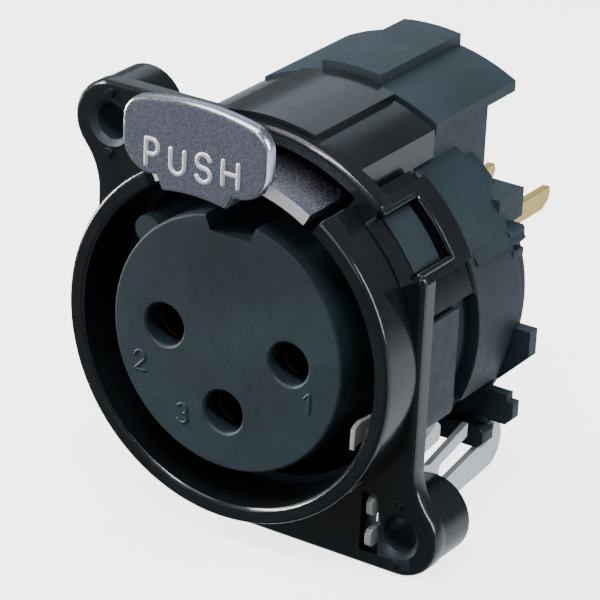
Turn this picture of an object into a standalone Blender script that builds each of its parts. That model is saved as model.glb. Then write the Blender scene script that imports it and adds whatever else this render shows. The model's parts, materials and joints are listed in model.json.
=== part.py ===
"""Female three-pole audio panel receptacle, mounted from behind the panel.

The bore axis runs along Y. The origin lies on that axis in the front face of the flange,
the mating side looks to -Y and the release latch is at the top, towards +Z.
Angles of round features are counted from +Z towards +X.
"""
import math

import bmesh
import bpy
from mathutils import Matrix

MM = 0.001
CLEAR = 0.3 * MM
FIT = 0.15 * MM
PAST = 0.5 * MM

# Round insert, ring gap and rim: all radii grow outwards from the insert
INSERT_RADIUS = 7.85 * MM
INSERT_EDGE = 0.2 * MM
INSERT_SET = 0.15 * MM
RING_GAP = 2.15 * MM
RIM_WALL = 1.04 * MM
RIM_HEIGHT = 2.9 * MM
RIM_LIP = 0.35 * MM
RIM_INNER = INSERT_RADIUS + RING_GAP
RIM_OUTER = RIM_INNER + RIM_WALL
RIM_FRONT = -RIM_HEIGHT
INSERT_FRONT = RIM_FRONT + INSERT_SET

# Flange
FLANGE_DEPTH = 1.2 * MM
FLANGE_LEDGE = 1.61 * MM
FLANGE_SIDE_CUT = 1.4 * MM
FLANGE_EDGE_ROUND = 0.4 * MM
FLANGE_RADIUS = RIM_OUTER + FLANGE_LEDGE
FLANGE_HALF_WIDTH = FLANGE_RADIUS - FLANGE_SIDE_CUT
EAR_RADIUS = 2.55 * MM
EAR_SET = 0.82 * MM
EAR_BLEND = 4.0 * MM
EAR_X = FLANGE_HALF_WIDTH - EAR_SET
EAR_Z = FLANGE_RADIUS - EAR_RADIUS
BOSS_HEIGHT = 2.8 * MM
BOSS_INSET = 0.08 * MM
BOSS_RADIUS = EAR_RADIUS - BOSS_INSET
BOSS_REAR = FLANGE_DEPTH + BOSS_HEIGHT
SCREW_RADIUS = 1.1 * MM
SCREW_SINK = 0.35 * MM
PIP_GAP = 0.4 * MM
PIP_RADIUS = 0.3 * MM
PIP_HEIGHT = 0.18 * MM
PIP_OFFSET = SCREW_RADIUS + SCREW_SINK + PIP_GAP

# Shell of the front housing, its straps and their snap windows
SHELL_STEP = 0.6 * MM
SHELL_WALL = 0.5 * MM
SHELL_SET = 0.45 * MM
SHELL_LOW_DEPTH = 3.1 * MM
SHELL_TO = 74.0
SHELL_LOW_FROM = 113.0
SHELL_INNER = RIM_INNER + SHELL_STEP
SHELL_OUTER = SHELL_INNER + SHELL_WALL
BORE_STEP = 0.1 * MM
BORE_STEP_Y = FLANGE_DEPTH + BORE_STEP
BAND_PLACE = 6.05 * MM
BAND_FRONT = FLANGE_DEPTH + BAND_PLACE
STRAP_RAISE = 0.4 * MM
STRAP_EDGE = 0.22 * MM
STRAP_OUTER = SHELL_OUTER + STRAP_RAISE
STRAP_REAR = BAND_FRONT - CLEAR
STRAP_FROM = 36.5
STRAP_TO = 64.0
LOW_STRAP_ANGLE = 13.75
WINDOW_FROM = 40.5
WINDOW_TO = 60.5
LOW_WINDOW_ANGLE = 10.0
WINDOW_SET = 0.2 * MM
WINDOW_LENGTH = 3.4 * MM
WINDOW_FRONT = FLANGE_DEPTH + WINDOW_SET
WINDOW_REAR = WINDOW_FRONT + WINDOW_LENGTH
NOTCH_SET = 0.1 * MM
NOTCH_SPREAD = 0.5

# Hump over the latch
HUMP_HALF_WIDTH = 6.0 * MM
HUMP_RAISE = 1.5 * MM
HUMP_THICK = 0.6 * MM
HUMP_WALL = 0.7 * MM
HUMP_OVER = 1.85 * MM
CREST_HALF_WIDTH = 3.2 * MM
CREST_RAISE = 0.4 * MM
HUMP_OUTER = SHELL_OUTER + HUMP_RAISE
HUMP_INNER = HUMP_OUTER - HUMP_THICK
HUMP_REAR = BAND_FRONT + HUMP_OVER
BAY_HALF_WIDTH = HUMP_HALF_WIDTH - HUMP_WALL
BAY_DROP = 2.0 * MM
SLOT_SET = 0.2 * MM
SLOT_ANGLE = 33.0
SLOT_OUTER = HUMP_INNER - SLOT_SET
SLOT_INNER = RIM_INNER - SLOT_SET

# Roof of the rear body behind the hump
ROOF_RAISE = 0.2 * MM
ROOF_THICK = 0.6 * MM
ROOF_GAP = 0.25 * MM
ROOF_OUTER = HUMP_OUTER + ROOF_RAISE
ROOF_INNER = ROOF_OUTER - ROOF_THICK
ROOF_FRONT = HUMP_REAR + ROOF_GAP
RIB_RAISE = 0.7 * MM
RIB_HALF_WIDTH = 2.0 * MM
RIB_WALL = 0.35 * MM
RIB_END = 0.6 * MM
RIB_OUTER = ROOF_OUTER + RIB_RAISE
CHANNEL_DEPTH = 0.4 * MM
CHANNEL_Z = ROOF_INNER + CHANNEL_DEPTH
WALL_SET = 0.2 * MM
WALL_THICK = 0.6 * MM
WALL_ROOT = 1.9 * MM
WALL_SKIRT = 1.3 * MM
WALL_STAND = 1.5 * MM
ROOF_STAND = 2.9 * MM
WALL_X = HUMP_HALF_WIDTH - WALL_SET
ROOF_HALF_WIDTH = WALL_X + FIT

# Sleeve, band and floor of the rear body
SLEEVE_WALL = 0.7 * MM
SLEEVE_OUTER = SHELL_INNER - CLEAR
SLEEVE_INNER = SLEEVE_OUTER - SLEEVE_WALL
SLEEVE_FRONT = BORE_STEP_Y + CLEAR
GROOVE_DEPTH = 0.35 * MM
GROOVE_LENGTH = 1.95 * MM
GROOVE_FROM = 76.2
GROOVE_TO = 113.4
BAND_DROP = 0.3 * MM
BAND_DEPTH = 4.75 * MM
BAND_OUTER = SHELL_OUTER - BAND_DROP
BAND_REAR = BAND_FRONT + BAND_DEPTH
RECESS_DEPTH = 0.72 * MM
RECESS_END = 0.6 * MM
RECESS_FROM = 114.3
RECESS_TO = 149.0
FLOOR_STAND = 2.0 * MM
FLOOR_THICK = 1.0 * MM
FLOOR_INSET = 0.8 * MM
FLOOR_REAR = BAND_REAR + FLOOR_STAND
FLOOR_RADIUS = BAND_OUTER - FLOOR_INSET
INSERT_REAR = FLOOR_REAR - FLOOR_THICK - CLEAR
POCKET_RADIUS = INSERT_RADIUS + CLEAR
WALL_REAR = FLOOR_REAR + WALL_STAND
ROOF_REAR = WALL_REAR + ROOF_STAND
GAP_SET = 0.4 * MM
GAP_HALF_WIDTH = HUMP_HALF_WIDTH - GAP_SET
WING_FROM = 75.4
WING_TO = 109.2
WING_SET = 0.5 * MM
WING_LENGTH = 3.15 * MM
WING_X = STRAP_OUTER - WING_SET
WING_FRONT = FLANGE_DEPTH + FIT
WING_REAR = WING_FRONT + WING_LENGTH
WING_STEP = 0.6 * MM
SNAP_ROOT = 0.2 * MM
SNAP_RAISE = 0.05 * MM
SNAP_BACK = 0.5 * MM
SNAP_ANGLE_GAP = 0.7

# Blocks, lug, bar and feet at the rear of the band
BLOCK_ROOT = 0.3 * MM
TOP_BLOCK_INSET = 1.65 * MM
TOP_BLOCK_WIDTH = 2.1 * MM
TOP_BLOCK_Z = 6.6 * MM
TOP_BLOCK_HEIGHT = 2.25 * MM
TOP_BLOCK_STAND = 2.5 * MM
MID_BLOCK_INSET = 0.8 * MM
MID_BLOCK_WIDTH = 2.0 * MM
MID_BLOCK_Z = 4.8 * MM
MID_BLOCK_HEIGHT = 1.4 * MM
MID_BLOCK_STAND = 1.4 * MM
BLOCK_CHAMFER = 0.45 * MM
NUB_INSET = 0.5 * MM
NUB_WIDTH = 1.2 * MM
NUB_Z = 3.65 * MM
NUB_HEIGHT = 0.45 * MM
NUB_STAND = 0.85 * MM
SIDE_RIM_INSET = 0.15 * MM
SIDE_RIM_WALL = 0.8 * MM
SIDE_RIM_STAND = 0.5 * MM
SIDE_RIM_ANGLES = ((72.4, 88.3), (92.2, 96.4))
BAR_FROM = 63.9
BAR_TO = 68.2
BAR_RAISE = 0.2 * MM
BAR_LOW_RAISE = 0.06 * MM
BAR_ROOT = 0.6 * MM
BAR_SET = 0.6 * MM
SIDE_LUG_OUT = 1.0 * MM
SIDE_LUG_ROOT = 3.3 * MM
SIDE_LUG_TOP = 1.05 * MM
SIDE_LUG_HEIGHT = 1.65 * MM
SIDE_LUG_SLANT = 1.9 * MM
SIDE_LUG_STAND = 0.55 * MM
FOOT_OUT = 0.2 * MM
FOOT_ROOT = 3.6 * MM
FOOT_TOP = 5.5 * MM
FOOT_HEIGHT = 1.95 * MM
FOOT_STEP = 0.45 * MM
FOOT_STAND = 0.45 * MM
HOOK_INSET = 1.3 * MM
HOOK_ROOT = 4.0 * MM
HOOK_TOP = 7.8 * MM
HOOK_HEIGHT = 1.35 * MM
HOOK_ROUND = 0.35 * MM
HOOK_BACK = 1.0 * MM
HOOK_STAND = 0.2 * MM

# Latch lever
PLATE_SET = 0.15 * MM
PLATE_THICK = 0.8 * MM
PLATE_LIP = 0.1 * MM
PLATE_TAIL = 0.8 * MM
PLATE_SIDE_GAP = 0.4 * MM
PLATE_SHOULDER_Y = 0.2 * MM
PLATE_ANGLE = 29.5
PLATE_INNER = RIM_INNER + PLATE_SET
PLATE_OUTER = PLATE_INNER + PLATE_THICK
PLATE_FRONT = RIM_FRONT - PLATE_LIP
PIVOT_PLACE = 4.2 * MM
PIVOT_DROP = 0.25 * MM
PIVOT_Y = FLANGE_DEPTH + PIVOT_PLACE
PIVOT_Z = PLATE_INNER - PIVOT_DROP
PLATE_REAR = PIVOT_Y + PLATE_TAIL
TRUNNION_RADIUS = 0.6 * MM
TRUNNION_SINK = 0.35 * MM
TRUNNION_REACH = BAY_HALF_WIDTH + TRUNNION_SINK
LUG_RADIUS = 1.0 * MM
LUG_DEPTH = 0.9 * MM
PLATE_TAIL_HALF_WIDTH = BAY_HALF_WIDTH - PLATE_SIDE_GAP
LUG_INNER_X = PLATE_TAIL_HALF_WIDTH - LUG_DEPTH
TAB_STAND = 3.8 * MM
TAB_DEPTH = 0.8 * MM
TAB_HALF_WIDTH = 4.85 * MM
TAB_RISE = 4.9 * MM
TAB_FOOT = 0.35 * MM
TAB_TOP_CORNER = 1.4 * MM
TAB_BOTTOM_CORNER = 1.9 * MM
TAB_EDGE = 0.28 * MM
TAB_FRONT = RIM_FRONT - TAB_STAND
TAB_TOP_RADIUS = PLATE_OUTER + TAB_RISE
TAB_BOTTOM_RADIUS = PLATE_OUTER + TAB_FOOT
NECK_HALF_WIDTH = 2.1 * MM
NECK_FLARE = 0.4 * MM
NECK_SET = 0.25 * MM
NECK_RAISE = 0.2 * MM
NECK_INNER = PLATE_INNER + NECK_SET
NECK_OUTER = PLATE_OUTER + NECK_RAISE
NECK_ROOT = 1.0 * MM
TOOTH_HALF_WIDTH = 1.5 * MM
TOOTH_DROP = 1.0 * MM
TOOTH_PLACE = 1.0 * MM
TOOTH_LENGTH = 1.2 * MM
TOOTH_LEAD = 0.5 * MM
TOOTH_INNER = PLATE_INNER - TOOTH_DROP
TOOTH_FRONT = PLATE_FRONT + TOOTH_PLACE
TOOTH_REAR = TOOTH_FRONT + TOOTH_LENGTH
ARM_HALF_WIDTH = 1.3 * MM
ARM_THICK = 0.65 * MM
ARM_HEADROOM = 0.5 * MM
ARM_ROOT = 1.5 * MM
ARM_HEEL = 0.7 * MM
ARM_SINK = 0.4 * MM
ARM_OVER = 3.0 * MM
ARM_HIGH = CHANNEL_Z - ARM_HEADROOM
ARM_LOW = ARM_HIGH - ARM_THICK
ARM_REAR = FLOOR_REAR + ARM_OVER

# Room for the arm and the latch spring
GROOVE_HALF_WIDTH = ARM_HALF_WIDTH + 0.5 * MM
ARM_TRAVEL = 1.0 * MM
ARM_REAR_TRAVEL = 1.85 * MM
ARM_NOTCH_SET = 0.2 * MM
BAND_FLAT_Z = ARM_LOW - ARM_TRAVEL
FLOOR_FLAT_Z = ARM_LOW - ARM_REAR_TRAVEL
SPRING_SET = 1.4 * MM
SPRING_RADIUS = 1.15 * MM
SPRING_WIRE = 0.18 * MM
SPRING_TURNS = 4.5
SPRING_Y = ARM_REAR - SPRING_SET
SEAT_DROP = 1.8 * MM
SEAT_DEPTH = 0.8 * MM
SEAT_HALF_WIDTH = 2.5 * MM
SEAT_MARGIN = 1.6 * MM
SEAT_Z = FLOOR_FLAT_Z - SEAT_DROP
SEAT_REAR = SPRING_Y + SEAT_MARGIN
SPIGOT_RADIUS = 0.65 * MM
SPIGOT_HEIGHT = 0.8 * MM

# Three contact holes, key notch and key lug of the insert
CONTACT_INSET = 3.57 * MM
CONTACT_CIRCLE = INSERT_RADIUS - CONTACT_INSET
HOLE_RADIUS = 1.325 * MM
HOLE_CHAMFER = 0.12 * MM
HOLE_DEPTH = 1.25 * MM
CHAMBER_RADIUS = 1.9 * MM
CHAMBER_FRONT = INSERT_FRONT + HOLE_DEPTH
KEY_DEPTH = 1.1 * MM
KEY_HALF_WIDTH = 1.35 * MM
KEY_FLARE = 0.65 * MM
KEY_LENGTH = 11.75 * MM
KEY_FLOOR_Z = INSERT_RADIUS - KEY_DEPTH
KEY_REAR = INSERT_FRONT + KEY_LENGTH
KEY_LUG_ANGLE = -46.3
KEY_LUG_OUT = 0.09 * MM
KEY_LUG_RADIUS = 0.9 * MM

# Socket contacts
SOCKET_WALL = 0.4 * MM
SOCKET_OUTER = CHAMBER_RADIUS - CLEAR
SOCKET_INNER = SOCKET_OUTER - SOCKET_WALL
SOCKET_FRONT = CHAMBER_FRONT + CLEAR
SOCKET_REAR = INSERT_REAR - CLEAR
SOCKET_HEEL = 3.4 * MM
SOCKET_BORE_REAR = SOCKET_REAR - SOCKET_HEEL
SOCKET_SLOT = 0.4 * MM
SOCKET_SLOT_LENGTH = 6.2 * MM
TAIL_THICK = 0.5 * MM
TAIL_HEIGHT = 1.35 * MM
TAIL_ROOT = 0.6 * MM
TAIL_BEND = 0.3 * MM
TAIL_CRANK = 1.2 * MM
TAIL_TOP_SIDE = 1.6 * MM
TAIL_TOP_LOW = 1.85 * MM
TAIL_LENGTH = 12.5 * MM
TAIL_LOW_EXTRA = 0.5 * MM
TAIL_TIP = 0.45 * MM
TAIL_END = FLOOR_REAR + TAIL_LENGTH

# Earth contact, one folded sheet. Heights are counted down from the bore axis.
SHEET_SET = 1.53 * MM
SHEET_THICK = 0.4 * MM
SHEET_OUTER_X = EAR_X - SHEET_SET
SHEET_INNER_X = SHEET_OUTER_X - SHEET_THICK
PRONG_OUT = 0.35 * MM
PRONG_TIP = 0.2 * MM
PRONG_RISE = 2.0 * MM
PRONG_HEIGHT = 1.1 * MM
PRONG_GAP = 0.9 * MM
PRONG_LENGTH = 1.0 * MM
PRONG_TOP = EAR_Z - PRONG_RISE
PRONG_MID = PRONG_TOP + PRONG_HEIGHT
PRONG_LOW_TOP = PRONG_MID + PRONG_GAP
PRONG_LOW = PRONG_LOW_TOP + PRONG_HEIGHT
PRONG_RECESS = 0.4 * MM
PRONG_MARGIN = 0.1 * MM
WEB_FRONT = WINDOW_FRONT + 0.05 * MM
WEB_TOP = 5.65 * MM
WEB_REAR = BAND_FRONT - 0.3 * MM
WEB_LOW = 7.1 * MM
FINGER_FRONT = 3.9 * MM
FINGER_WIDTH = 1.4 * MM
FINGER_TOP = 2.9 * MM
FINGER_HEIGHT = 1.3 * MM
FINGER_THICK = 0.3 * MM
FINGER_BOW = 0.5 * MM
FINGER_TIP = 2.3 * MM
FINGER_INSET = 0.05 * MM
SLIT_LENGTH = 1.95 * MM
SLIT_TOP = 7.35 * MM
SLIT_HEIGHT = 0.7 * MM
LEG_FRONT = 6.0 * MM
LEG_REAR = BAND_REAR - 1.8 * MM
LEG_TOP = 7.25 * MM
LEG_DROP = 1.1 * MM
LEG_HEIGHT = 0.88 * MM
BEND_WIDTH = 1.2 * MM
TAG_FRONT = 7.85 * MM
TAG_TOP = 10.15 * MM
TAG_LOW = 11.6 * MM
TAG_SET = 1.75 * MM
HOOK_CENTRE_Z = 8.5 * MM
HOOK_INNER_RADIUS = 1.12 * MM
HOOK_OUTER_RADIUS = 1.75 * MM
HOOK_OUTER_SET = 0.35 * MM
HOOK_OUTER_DROP = 1.1 * MM
HOOK_CENTRE_Y = FLOOR_REAR - TAG_SET


def new_group(name):
    group = bpy.data.collections.new(name)
    bpy.context.scene.collection.children.link(group)
    return group


def material(name, colour, roughness, metallic=0.0):
    surface = bpy.data.materials.new(name)
    surface.use_nodes = True
    shader = surface.node_tree.nodes["Principled BSDF"]
    shader.inputs["Base Color"].default_value = (*colour, 1.0)
    shader.inputs["Roughness"].default_value = roughness
    shader.inputs["Metallic"].default_value = metallic
    surface.diffuse_color = (*colour, 1.0)
    return surface


def housing_plastic():
    return material("gloss_black_plastic", (0.016, 0.020, 0.023), 0.28)


def body_plastic():
    return material("slate_plastic", (0.040, 0.047, 0.056), 0.55)


def insert_plastic():
    return material("insert_plastic", (0.030, 0.042, 0.050), 0.6)


def nickel():
    return material("cast_nickel", (0.56, 0.56, 0.60), 0.3, 1.0)


def gold():
    return material("gold_plate", (0.86, 0.70, 0.34), 0.3, 1.0)


def tin():
    return material("tinned_sheet", (0.80, 0.81, 0.84), 0.28, 1.0)


def spring_steel():
    return material("spring_steel", (0.55, 0.55, 0.56), 0.35, 1.0)


# The three ways a flat outline can lie: across the bore axis, across X and across Z.
ACROSS_Y = Matrix(((1, 0, 0, 0), (0, 0, -1, 0), (0, 1, 0, 0), (0, 0, 0, 1)))
ACROSS_X = Matrix(((0, 0, 1, 0), (1, 0, 0, 0), (0, 1, 0, 0), (0, 0, 0, 1)))
ACROSS_Z = Matrix.Identity(4)


def polar(radius, angle, centre=(0.0, 0.0)):
    """Point at an angle in degrees counted from the second axis towards the first."""
    turn = math.radians(angle)
    return (centre[0] + radius * math.sin(turn), centre[1] + radius * math.cos(turn))


def arc(radius, start, end, count, centre=(0.0, 0.0)):
    return [polar(radius, start + (end - start) * i / count, centre) for i in range(count + 1)]


def sector(inner, outer, start, end, count):
    return arc(outer, start, end, count) + arc(inner, end, start, count)


def capped(radius, half_width, count):
    """Arc over the top between two upright lines."""
    limit = math.degrees(math.asin(half_width / radius))
    return arc(radius, -limit, limit, count)


def box(low_u, high_u, low_v, high_v):
    return [(low_u, low_v), (high_u, low_v), (high_u, high_v), (low_u, high_v)]


def flat(name, outline, low, high, group, way=ACROSS_Y):
    """Solid of one closed outline between two heights along the normal of its plane."""
    curve = bpy.data.curves.new(name, "CURVE")
    curve.dimensions = "2D"
    curve.fill_mode = "BOTH"
    curve.extrude = (high - low) / 2
    spline = curve.splines.new("POLY")
    spline.points.add(len(outline) - 1)
    spline.points.foreach_set("co", [value for u, v in outline for value in (u, v, 0.0, 1.0)])
    spline.use_cyclic_u = True
    drawn = bpy.data.objects.new(name, curve)
    middle = (low + high) / 2
    shift = (0.0, middle, 0.0)
    if way is ACROSS_X:
        shift = (middle, 0.0, 0.0)
    if way is ACROSS_Z:
        shift = (0.0, 0.0, middle)
    drawn.matrix_world = Matrix.Translation(shift) @ way
    group.objects.link(drawn)
    return solid_of(drawn, name, group)


def solid_of(drawn, name, group, merge_caps=True):
    """Closed mesh of a drawn curve, in the same place."""
    bpy.context.view_layer.update()
    graph = bpy.context.evaluated_depsgraph_get()
    mesh = bpy.data.meshes.new_from_object(drawn.evaluated_get(graph))
    mesh.name = name
    shape = bmesh.new()
    shape.from_mesh(mesh)
    bmesh.ops.remove_doubles(shape, verts=shape.verts, dist=0.001 * MM)
    bmesh.ops.recalc_face_normals(shape, faces=shape.faces)
    if merge_caps:
        bmesh.ops.dissolve_limit(shape, angle_limit=0.001, verts=[], edges=shape.edges)
    shape.to_mesh(mesh)
    shape.free()
    solid = bpy.data.objects.new(name, mesh)
    solid.matrix_world = drawn.matrix_world.copy()
    bpy.data.objects.remove(drawn)
    solid.name = name
    group.objects.link(solid)
    return solid


def turned(name, profile, group, centre=(0.0, 0.0), steps=96):
    """Body of revolution about the bore direction. The profile lists radius and Y."""
    mesh = bpy.data.meshes.new(name)
    points = [(radius, 0.0, -along) for radius, along in profile]
    closed = [(i, (i + 1) % len(points)) for i in range(len(points))]
    edges = [(a, b) for a, b in closed if points[a][0] + points[b][0] > 0.0]
    mesh.from_pydata(points, edges, [])
    body = bpy.data.objects.new(name, mesh)
    body.matrix_world = Matrix.Translation((centre[0], 0.0, centre[1])) @ ACROSS_Y
    group.objects.link(body)
    sweep = body.modifiers.new("turn", "SCREW")
    sweep.steps = steps
    sweep.render_steps = steps
    sweep.use_merge_vertices = True
    sweep.merge_threshold = 0.001 * MM
    sweep.use_smooth_shade = False
    bpy.context.view_layer.update()
    graph = bpy.context.evaluated_depsgraph_get()
    full = bpy.data.meshes.new_from_object(body.evaluated_get(graph))
    shape = bmesh.new()
    shape.from_mesh(full)
    bmesh.ops.recalc_face_normals(shape, faces=shape.faces)
    shape.to_mesh(full)
    shape.free()
    body.modifiers.clear()
    body.data = full
    return body


def plug(name, radius, low, high, group, centre=(0.0, 0.0), steps=32):
    """Round bar along the bore direction."""
    return flat(name, arc(radius, 0.0, 360.0 - 360.0 / steps, steps - 1, centre), low, high, group)


def soften(body, chosen, width, segments):
    """Round the edges whose two ends both pass the test."""
    mesh = body.data
    weights = mesh.attributes.new("bevel_weight_edge", "FLOAT", "EDGE")
    places = [body.matrix_world @ vertex.co for vertex in mesh.vertices]
    for edge in mesh.edges:
        ends = (places[edge.vertices[0]], places[edge.vertices[1]])
        if all(chosen(end) for end in ends):
            weights.data[edge.index].value = 1.0
    rounding = body.modifiers.new("rounding", "BEVEL")
    rounding.limit_method = "WEIGHT"
    rounding.width = width
    rounding.segments = segments
    rounding.use_clamp_overlap = True


def combine(body, other, operation):
    step = body.modifiers.new(operation.lower(), "BOOLEAN")
    step.operation = operation
    step.solver = "EXACT"
    step.object = other


def join(body, *others):
    for other in others:
        combine(body, other, "UNION")


def cut(body, *others):
    for other in others:
        combine(body, other, "DIFFERENCE")


def finish(body, surface, name, parts, angle=35.0):
    """Move a ready body into the part's own collection with its surface."""
    body.name = name
    body.data.name = name
    body.data.materials.clear()
    body.data.materials.append(surface)
    for group in list(body.users_collection):
        group.objects.unlink(body)
    parts.objects.link(body)
    body.data.shade_smooth()
    body.data.set_sharp_from_angle(angle=math.radians(angle))
    return body


def ear_outline():
    """Lobe round the lower right screw hole with the hollow blend into the flange edge."""
    reach = EAR_BLEND + EAR_RADIUS
    across = FLANGE_HALF_WIDTH + EAR_BLEND - EAR_X
    blend = (FLANGE_HALF_WIDTH + EAR_BLEND, -EAR_Z + math.sqrt(reach ** 2 - across ** 2))
    meet = math.degrees(math.atan2(EAR_X - blend[0], -EAR_Z - blend[1]))
    return arc(EAR_BLEND, -90.0, meet, 8, blend) + arc(EAR_RADIUS, meet + 180.0, 180.0, 14, (EAR_X, -EAR_Z))[1:]


def flange_outline():
    """Disc with straight sides and two ears, the upper left one a half turn from the lower right one."""
    side = math.degrees(math.asin(FLANGE_HALF_WIDTH / FLANGE_RADIUS))
    half = arc(FLANGE_RADIUS, 0.0, side, 18) + ear_outline()
    return half + [(-x, -z) for x, z in half]


def front_housing(parts, tools):
    """One moulding: flange with two ears, rim, slotted shell, latch hump, straps and bosses."""
    body = flat("flange", flange_outline(), 0.0, FLANGE_DEPTH, tools)
    soften(body, lambda end: end.y < FIT, FLANGE_EDGE_ROUND, 3)
    join(body, rim(tools), shell_wall(tools), hump_wall(tools), *straps(tools), *bosses(tools))
    join(body, *pips(tools))
    bore = turned("bore", [
        (RIM_INNER, RIM_FRONT - PAST),
        (RIM_INNER, BORE_STEP_Y),
        (SHELL_INNER, BORE_STEP_Y),
        (SHELL_INNER, STRAP_REAR),
        (BAND_OUTER + CLEAR, STRAP_REAR),
        (BAND_OUTER + CLEAR, HUMP_REAR + PAST),
        (0.0, HUMP_REAR + PAST),
        (0.0, RIM_FRONT - PAST),
    ], tools)
    slot = flat("latch_slot", sector(SLOT_INNER, SLOT_OUTER, -SLOT_ANGLE, SLOT_ANGLE, 18),
                RIM_FRONT - PAST, FLANGE_DEPTH + FIT, tools)
    cut(body, bore, slot, latch_bay(tools), *screw_holes(tools), *earth_slots(tools))
    cut(body, *windows(tools), flange_notch(tools), *trunnion_pockets(tools))
    return finish(body, housing_plastic(), "front_housing", parts)


def rim(tools):
    """Raised ring round the mouth with a rounded lip."""
    return turned("rim", [
        (RIM_INNER - PAST, RIM_FRONT + RIM_LIP),
        (RIM_INNER, RIM_FRONT + RIM_LIP / 2),
        (RIM_INNER + RIM_LIP / 2, RIM_FRONT),
        (RIM_OUTER - RIM_LIP, RIM_FRONT),
        (RIM_OUTER - RIM_LIP / 3, RIM_FRONT + RIM_LIP / 3),
        (RIM_OUTER, RIM_FRONT + RIM_LIP),
        (RIM_OUTER, FLANGE_DEPTH / 2),
        (RIM_INNER - PAST, FLANGE_DEPTH / 2),
    ], tools)


def shell_wall(tools):
    """Round wall behind the flange: deep over the upper part, short below, open at both sides."""
    low = sector(SHELL_INNER - PAST, SHELL_OUTER, SHELL_LOW_FROM, 360.0 - SHELL_LOW_FROM, 44)
    high = sector(SHELL_INNER - PAST, SHELL_OUTER, -SHELL_TO, SHELL_TO, 50)
    wall = flat("shell_low", low, FLANGE_DEPTH / 2, FLANGE_DEPTH + SHELL_LOW_DEPTH, tools)
    join(wall, flat("shell_high", high, FLANGE_DEPTH / 2, STRAP_REAR - SHELL_SET, tools))
    return wall


def hump_wall(tools):
    """Arched cover above the latch with a raised crest and upright side walls."""
    side = math.sqrt(SHELL_OUTER ** 2 - HUMP_HALF_WIDTH ** 2) - CLEAR
    shoulder = math.degrees(math.asin(HUMP_HALF_WIDTH / HUMP_OUTER))
    step = math.degrees(math.asin(CREST_HALF_WIDTH / HUMP_OUTER))
    outline = arc(HUMP_OUTER, -shoulder, -step, 6)
    outline += capped(HUMP_OUTER + CREST_RAISE, CREST_HALF_WIDTH, 9)
    outline += arc(HUMP_OUTER, step, shoulder, 6)
    outline += [(HUMP_HALF_WIDTH, side), (-HUMP_HALF_WIDTH, side)]
    return flat("hump", outline, FLANGE_DEPTH - PAST, HUMP_REAR, tools)


def latch_bay(tools):
    """Room for the latch under the hump."""
    floor = SLOT_INNER - BAY_DROP
    outline = capped(HUMP_INNER, BAY_HALF_WIDTH, 16) + [(BAY_HALF_WIDTH, floor), (-BAY_HALF_WIDTH, floor)]
    bay = flat("latch_bay", outline, FLANGE_DEPTH - FIT, HUMP_REAR + PAST, tools)
    over = box(-ARM_HALF_WIDTH - CLEAR, ARM_HALF_WIDTH + CLEAR, SLOT_INNER, ARM_HIGH + CLEAR)
    join(bay, flat("arm_bay", over, FLANGE_DEPTH - FIT, HUMP_REAR + PAST, tools))
    return bay


def straps(tools):
    """Thicker straps round the snap windows, left, right and below."""
    bands = []
    for start, end in ((STRAP_FROM, STRAP_TO), (-STRAP_TO, -STRAP_FROM),
                       (180.0 - LOW_STRAP_ANGLE, 180.0 + LOW_STRAP_ANGLE)):
        outline = sector(SHELL_INNER - CLEAR, STRAP_OUTER, start, end, 12)
        band = flat("strap", outline, FLANGE_DEPTH - PAST, STRAP_REAR, tools)
        soften(band, lambda end: end.y > STRAP_REAR - FIT
               and math.hypot(end.x, end.z) > STRAP_OUTER - FIT, STRAP_EDGE, 2)
        bands.append(band)
    return bands


def windows(tools):
    """Openings in the straps that the snap blocks of the rear body fill."""
    cutters = []
    for start, end in ((WINDOW_FROM, WINDOW_TO), (-WINDOW_TO, -WINDOW_FROM),
                       (180.0 - LOW_WINDOW_ANGLE, 180.0 + LOW_WINDOW_ANGLE)):
        outline = sector(SHELL_INNER - CLEAR, STRAP_OUTER + PAST, start, end, 10)
        cutters.append(flat("window", outline, WINDOW_FRONT, WINDOW_REAR, tools))
    return cutters


def flange_notch(tools):
    """Gap in the flange edge that opens the right window to the front."""
    outline = sector(RIM_OUTER + NOTCH_SET, FLANGE_RADIUS + PAST, WINDOW_FROM - NOTCH_SPREAD,
                     WINDOW_TO + NOTCH_SPREAD, 10)
    return flat("flange_notch", outline, -PAST, WINDOW_FRONT + BORE_STEP, tools)


def bosses(tools):
    """Round screw bosses behind the two ears. The lower one is cut flat beside the earth sheet."""
    upper = plug("boss", BOSS_RADIUS, FLANGE_DEPTH / 2, BOSS_REAR, tools, (-EAR_X, EAR_Z), 40)
    inner = SHEET_OUTER_X + FIT - EAR_X
    turn = math.degrees(math.asin(inner / BOSS_RADIUS))
    outline = arc(BOSS_RADIUS, turn, 180.0 - turn, 32, (EAR_X, -EAR_Z))
    return [upper, flat("boss", outline, FLANGE_DEPTH / 2, BOSS_REAR, tools)]


def pips(tools):
    """Small raised dots above and below each screw hole."""
    dots = []
    for side in (-1, 1):
        for step in (-1, 1):
            place = (side * EAR_X, -side * EAR_Z + step * PIP_OFFSET)
            dots.append(plug("pip", PIP_RADIUS, -PIP_HEIGHT, FLANGE_DEPTH / 2, tools, place, 12))
    return dots


def screw_holes(tools):
    holes = []
    for side in (-1, 1):
        place = (side * EAR_X, -side * EAR_Z)
        holes.append(turned("screw_hole", [
            (0.0, -PAST),
            (SCREW_RADIUS + SCREW_SINK, -PAST),
            (SCREW_RADIUS + SCREW_SINK, 0.0),
            (SCREW_RADIUS, SCREW_SINK),
            (SCREW_RADIUS, BOSS_REAR + PAST),
            (0.0, BOSS_REAR + PAST),
        ], tools, place, 28))
    return holes


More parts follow.
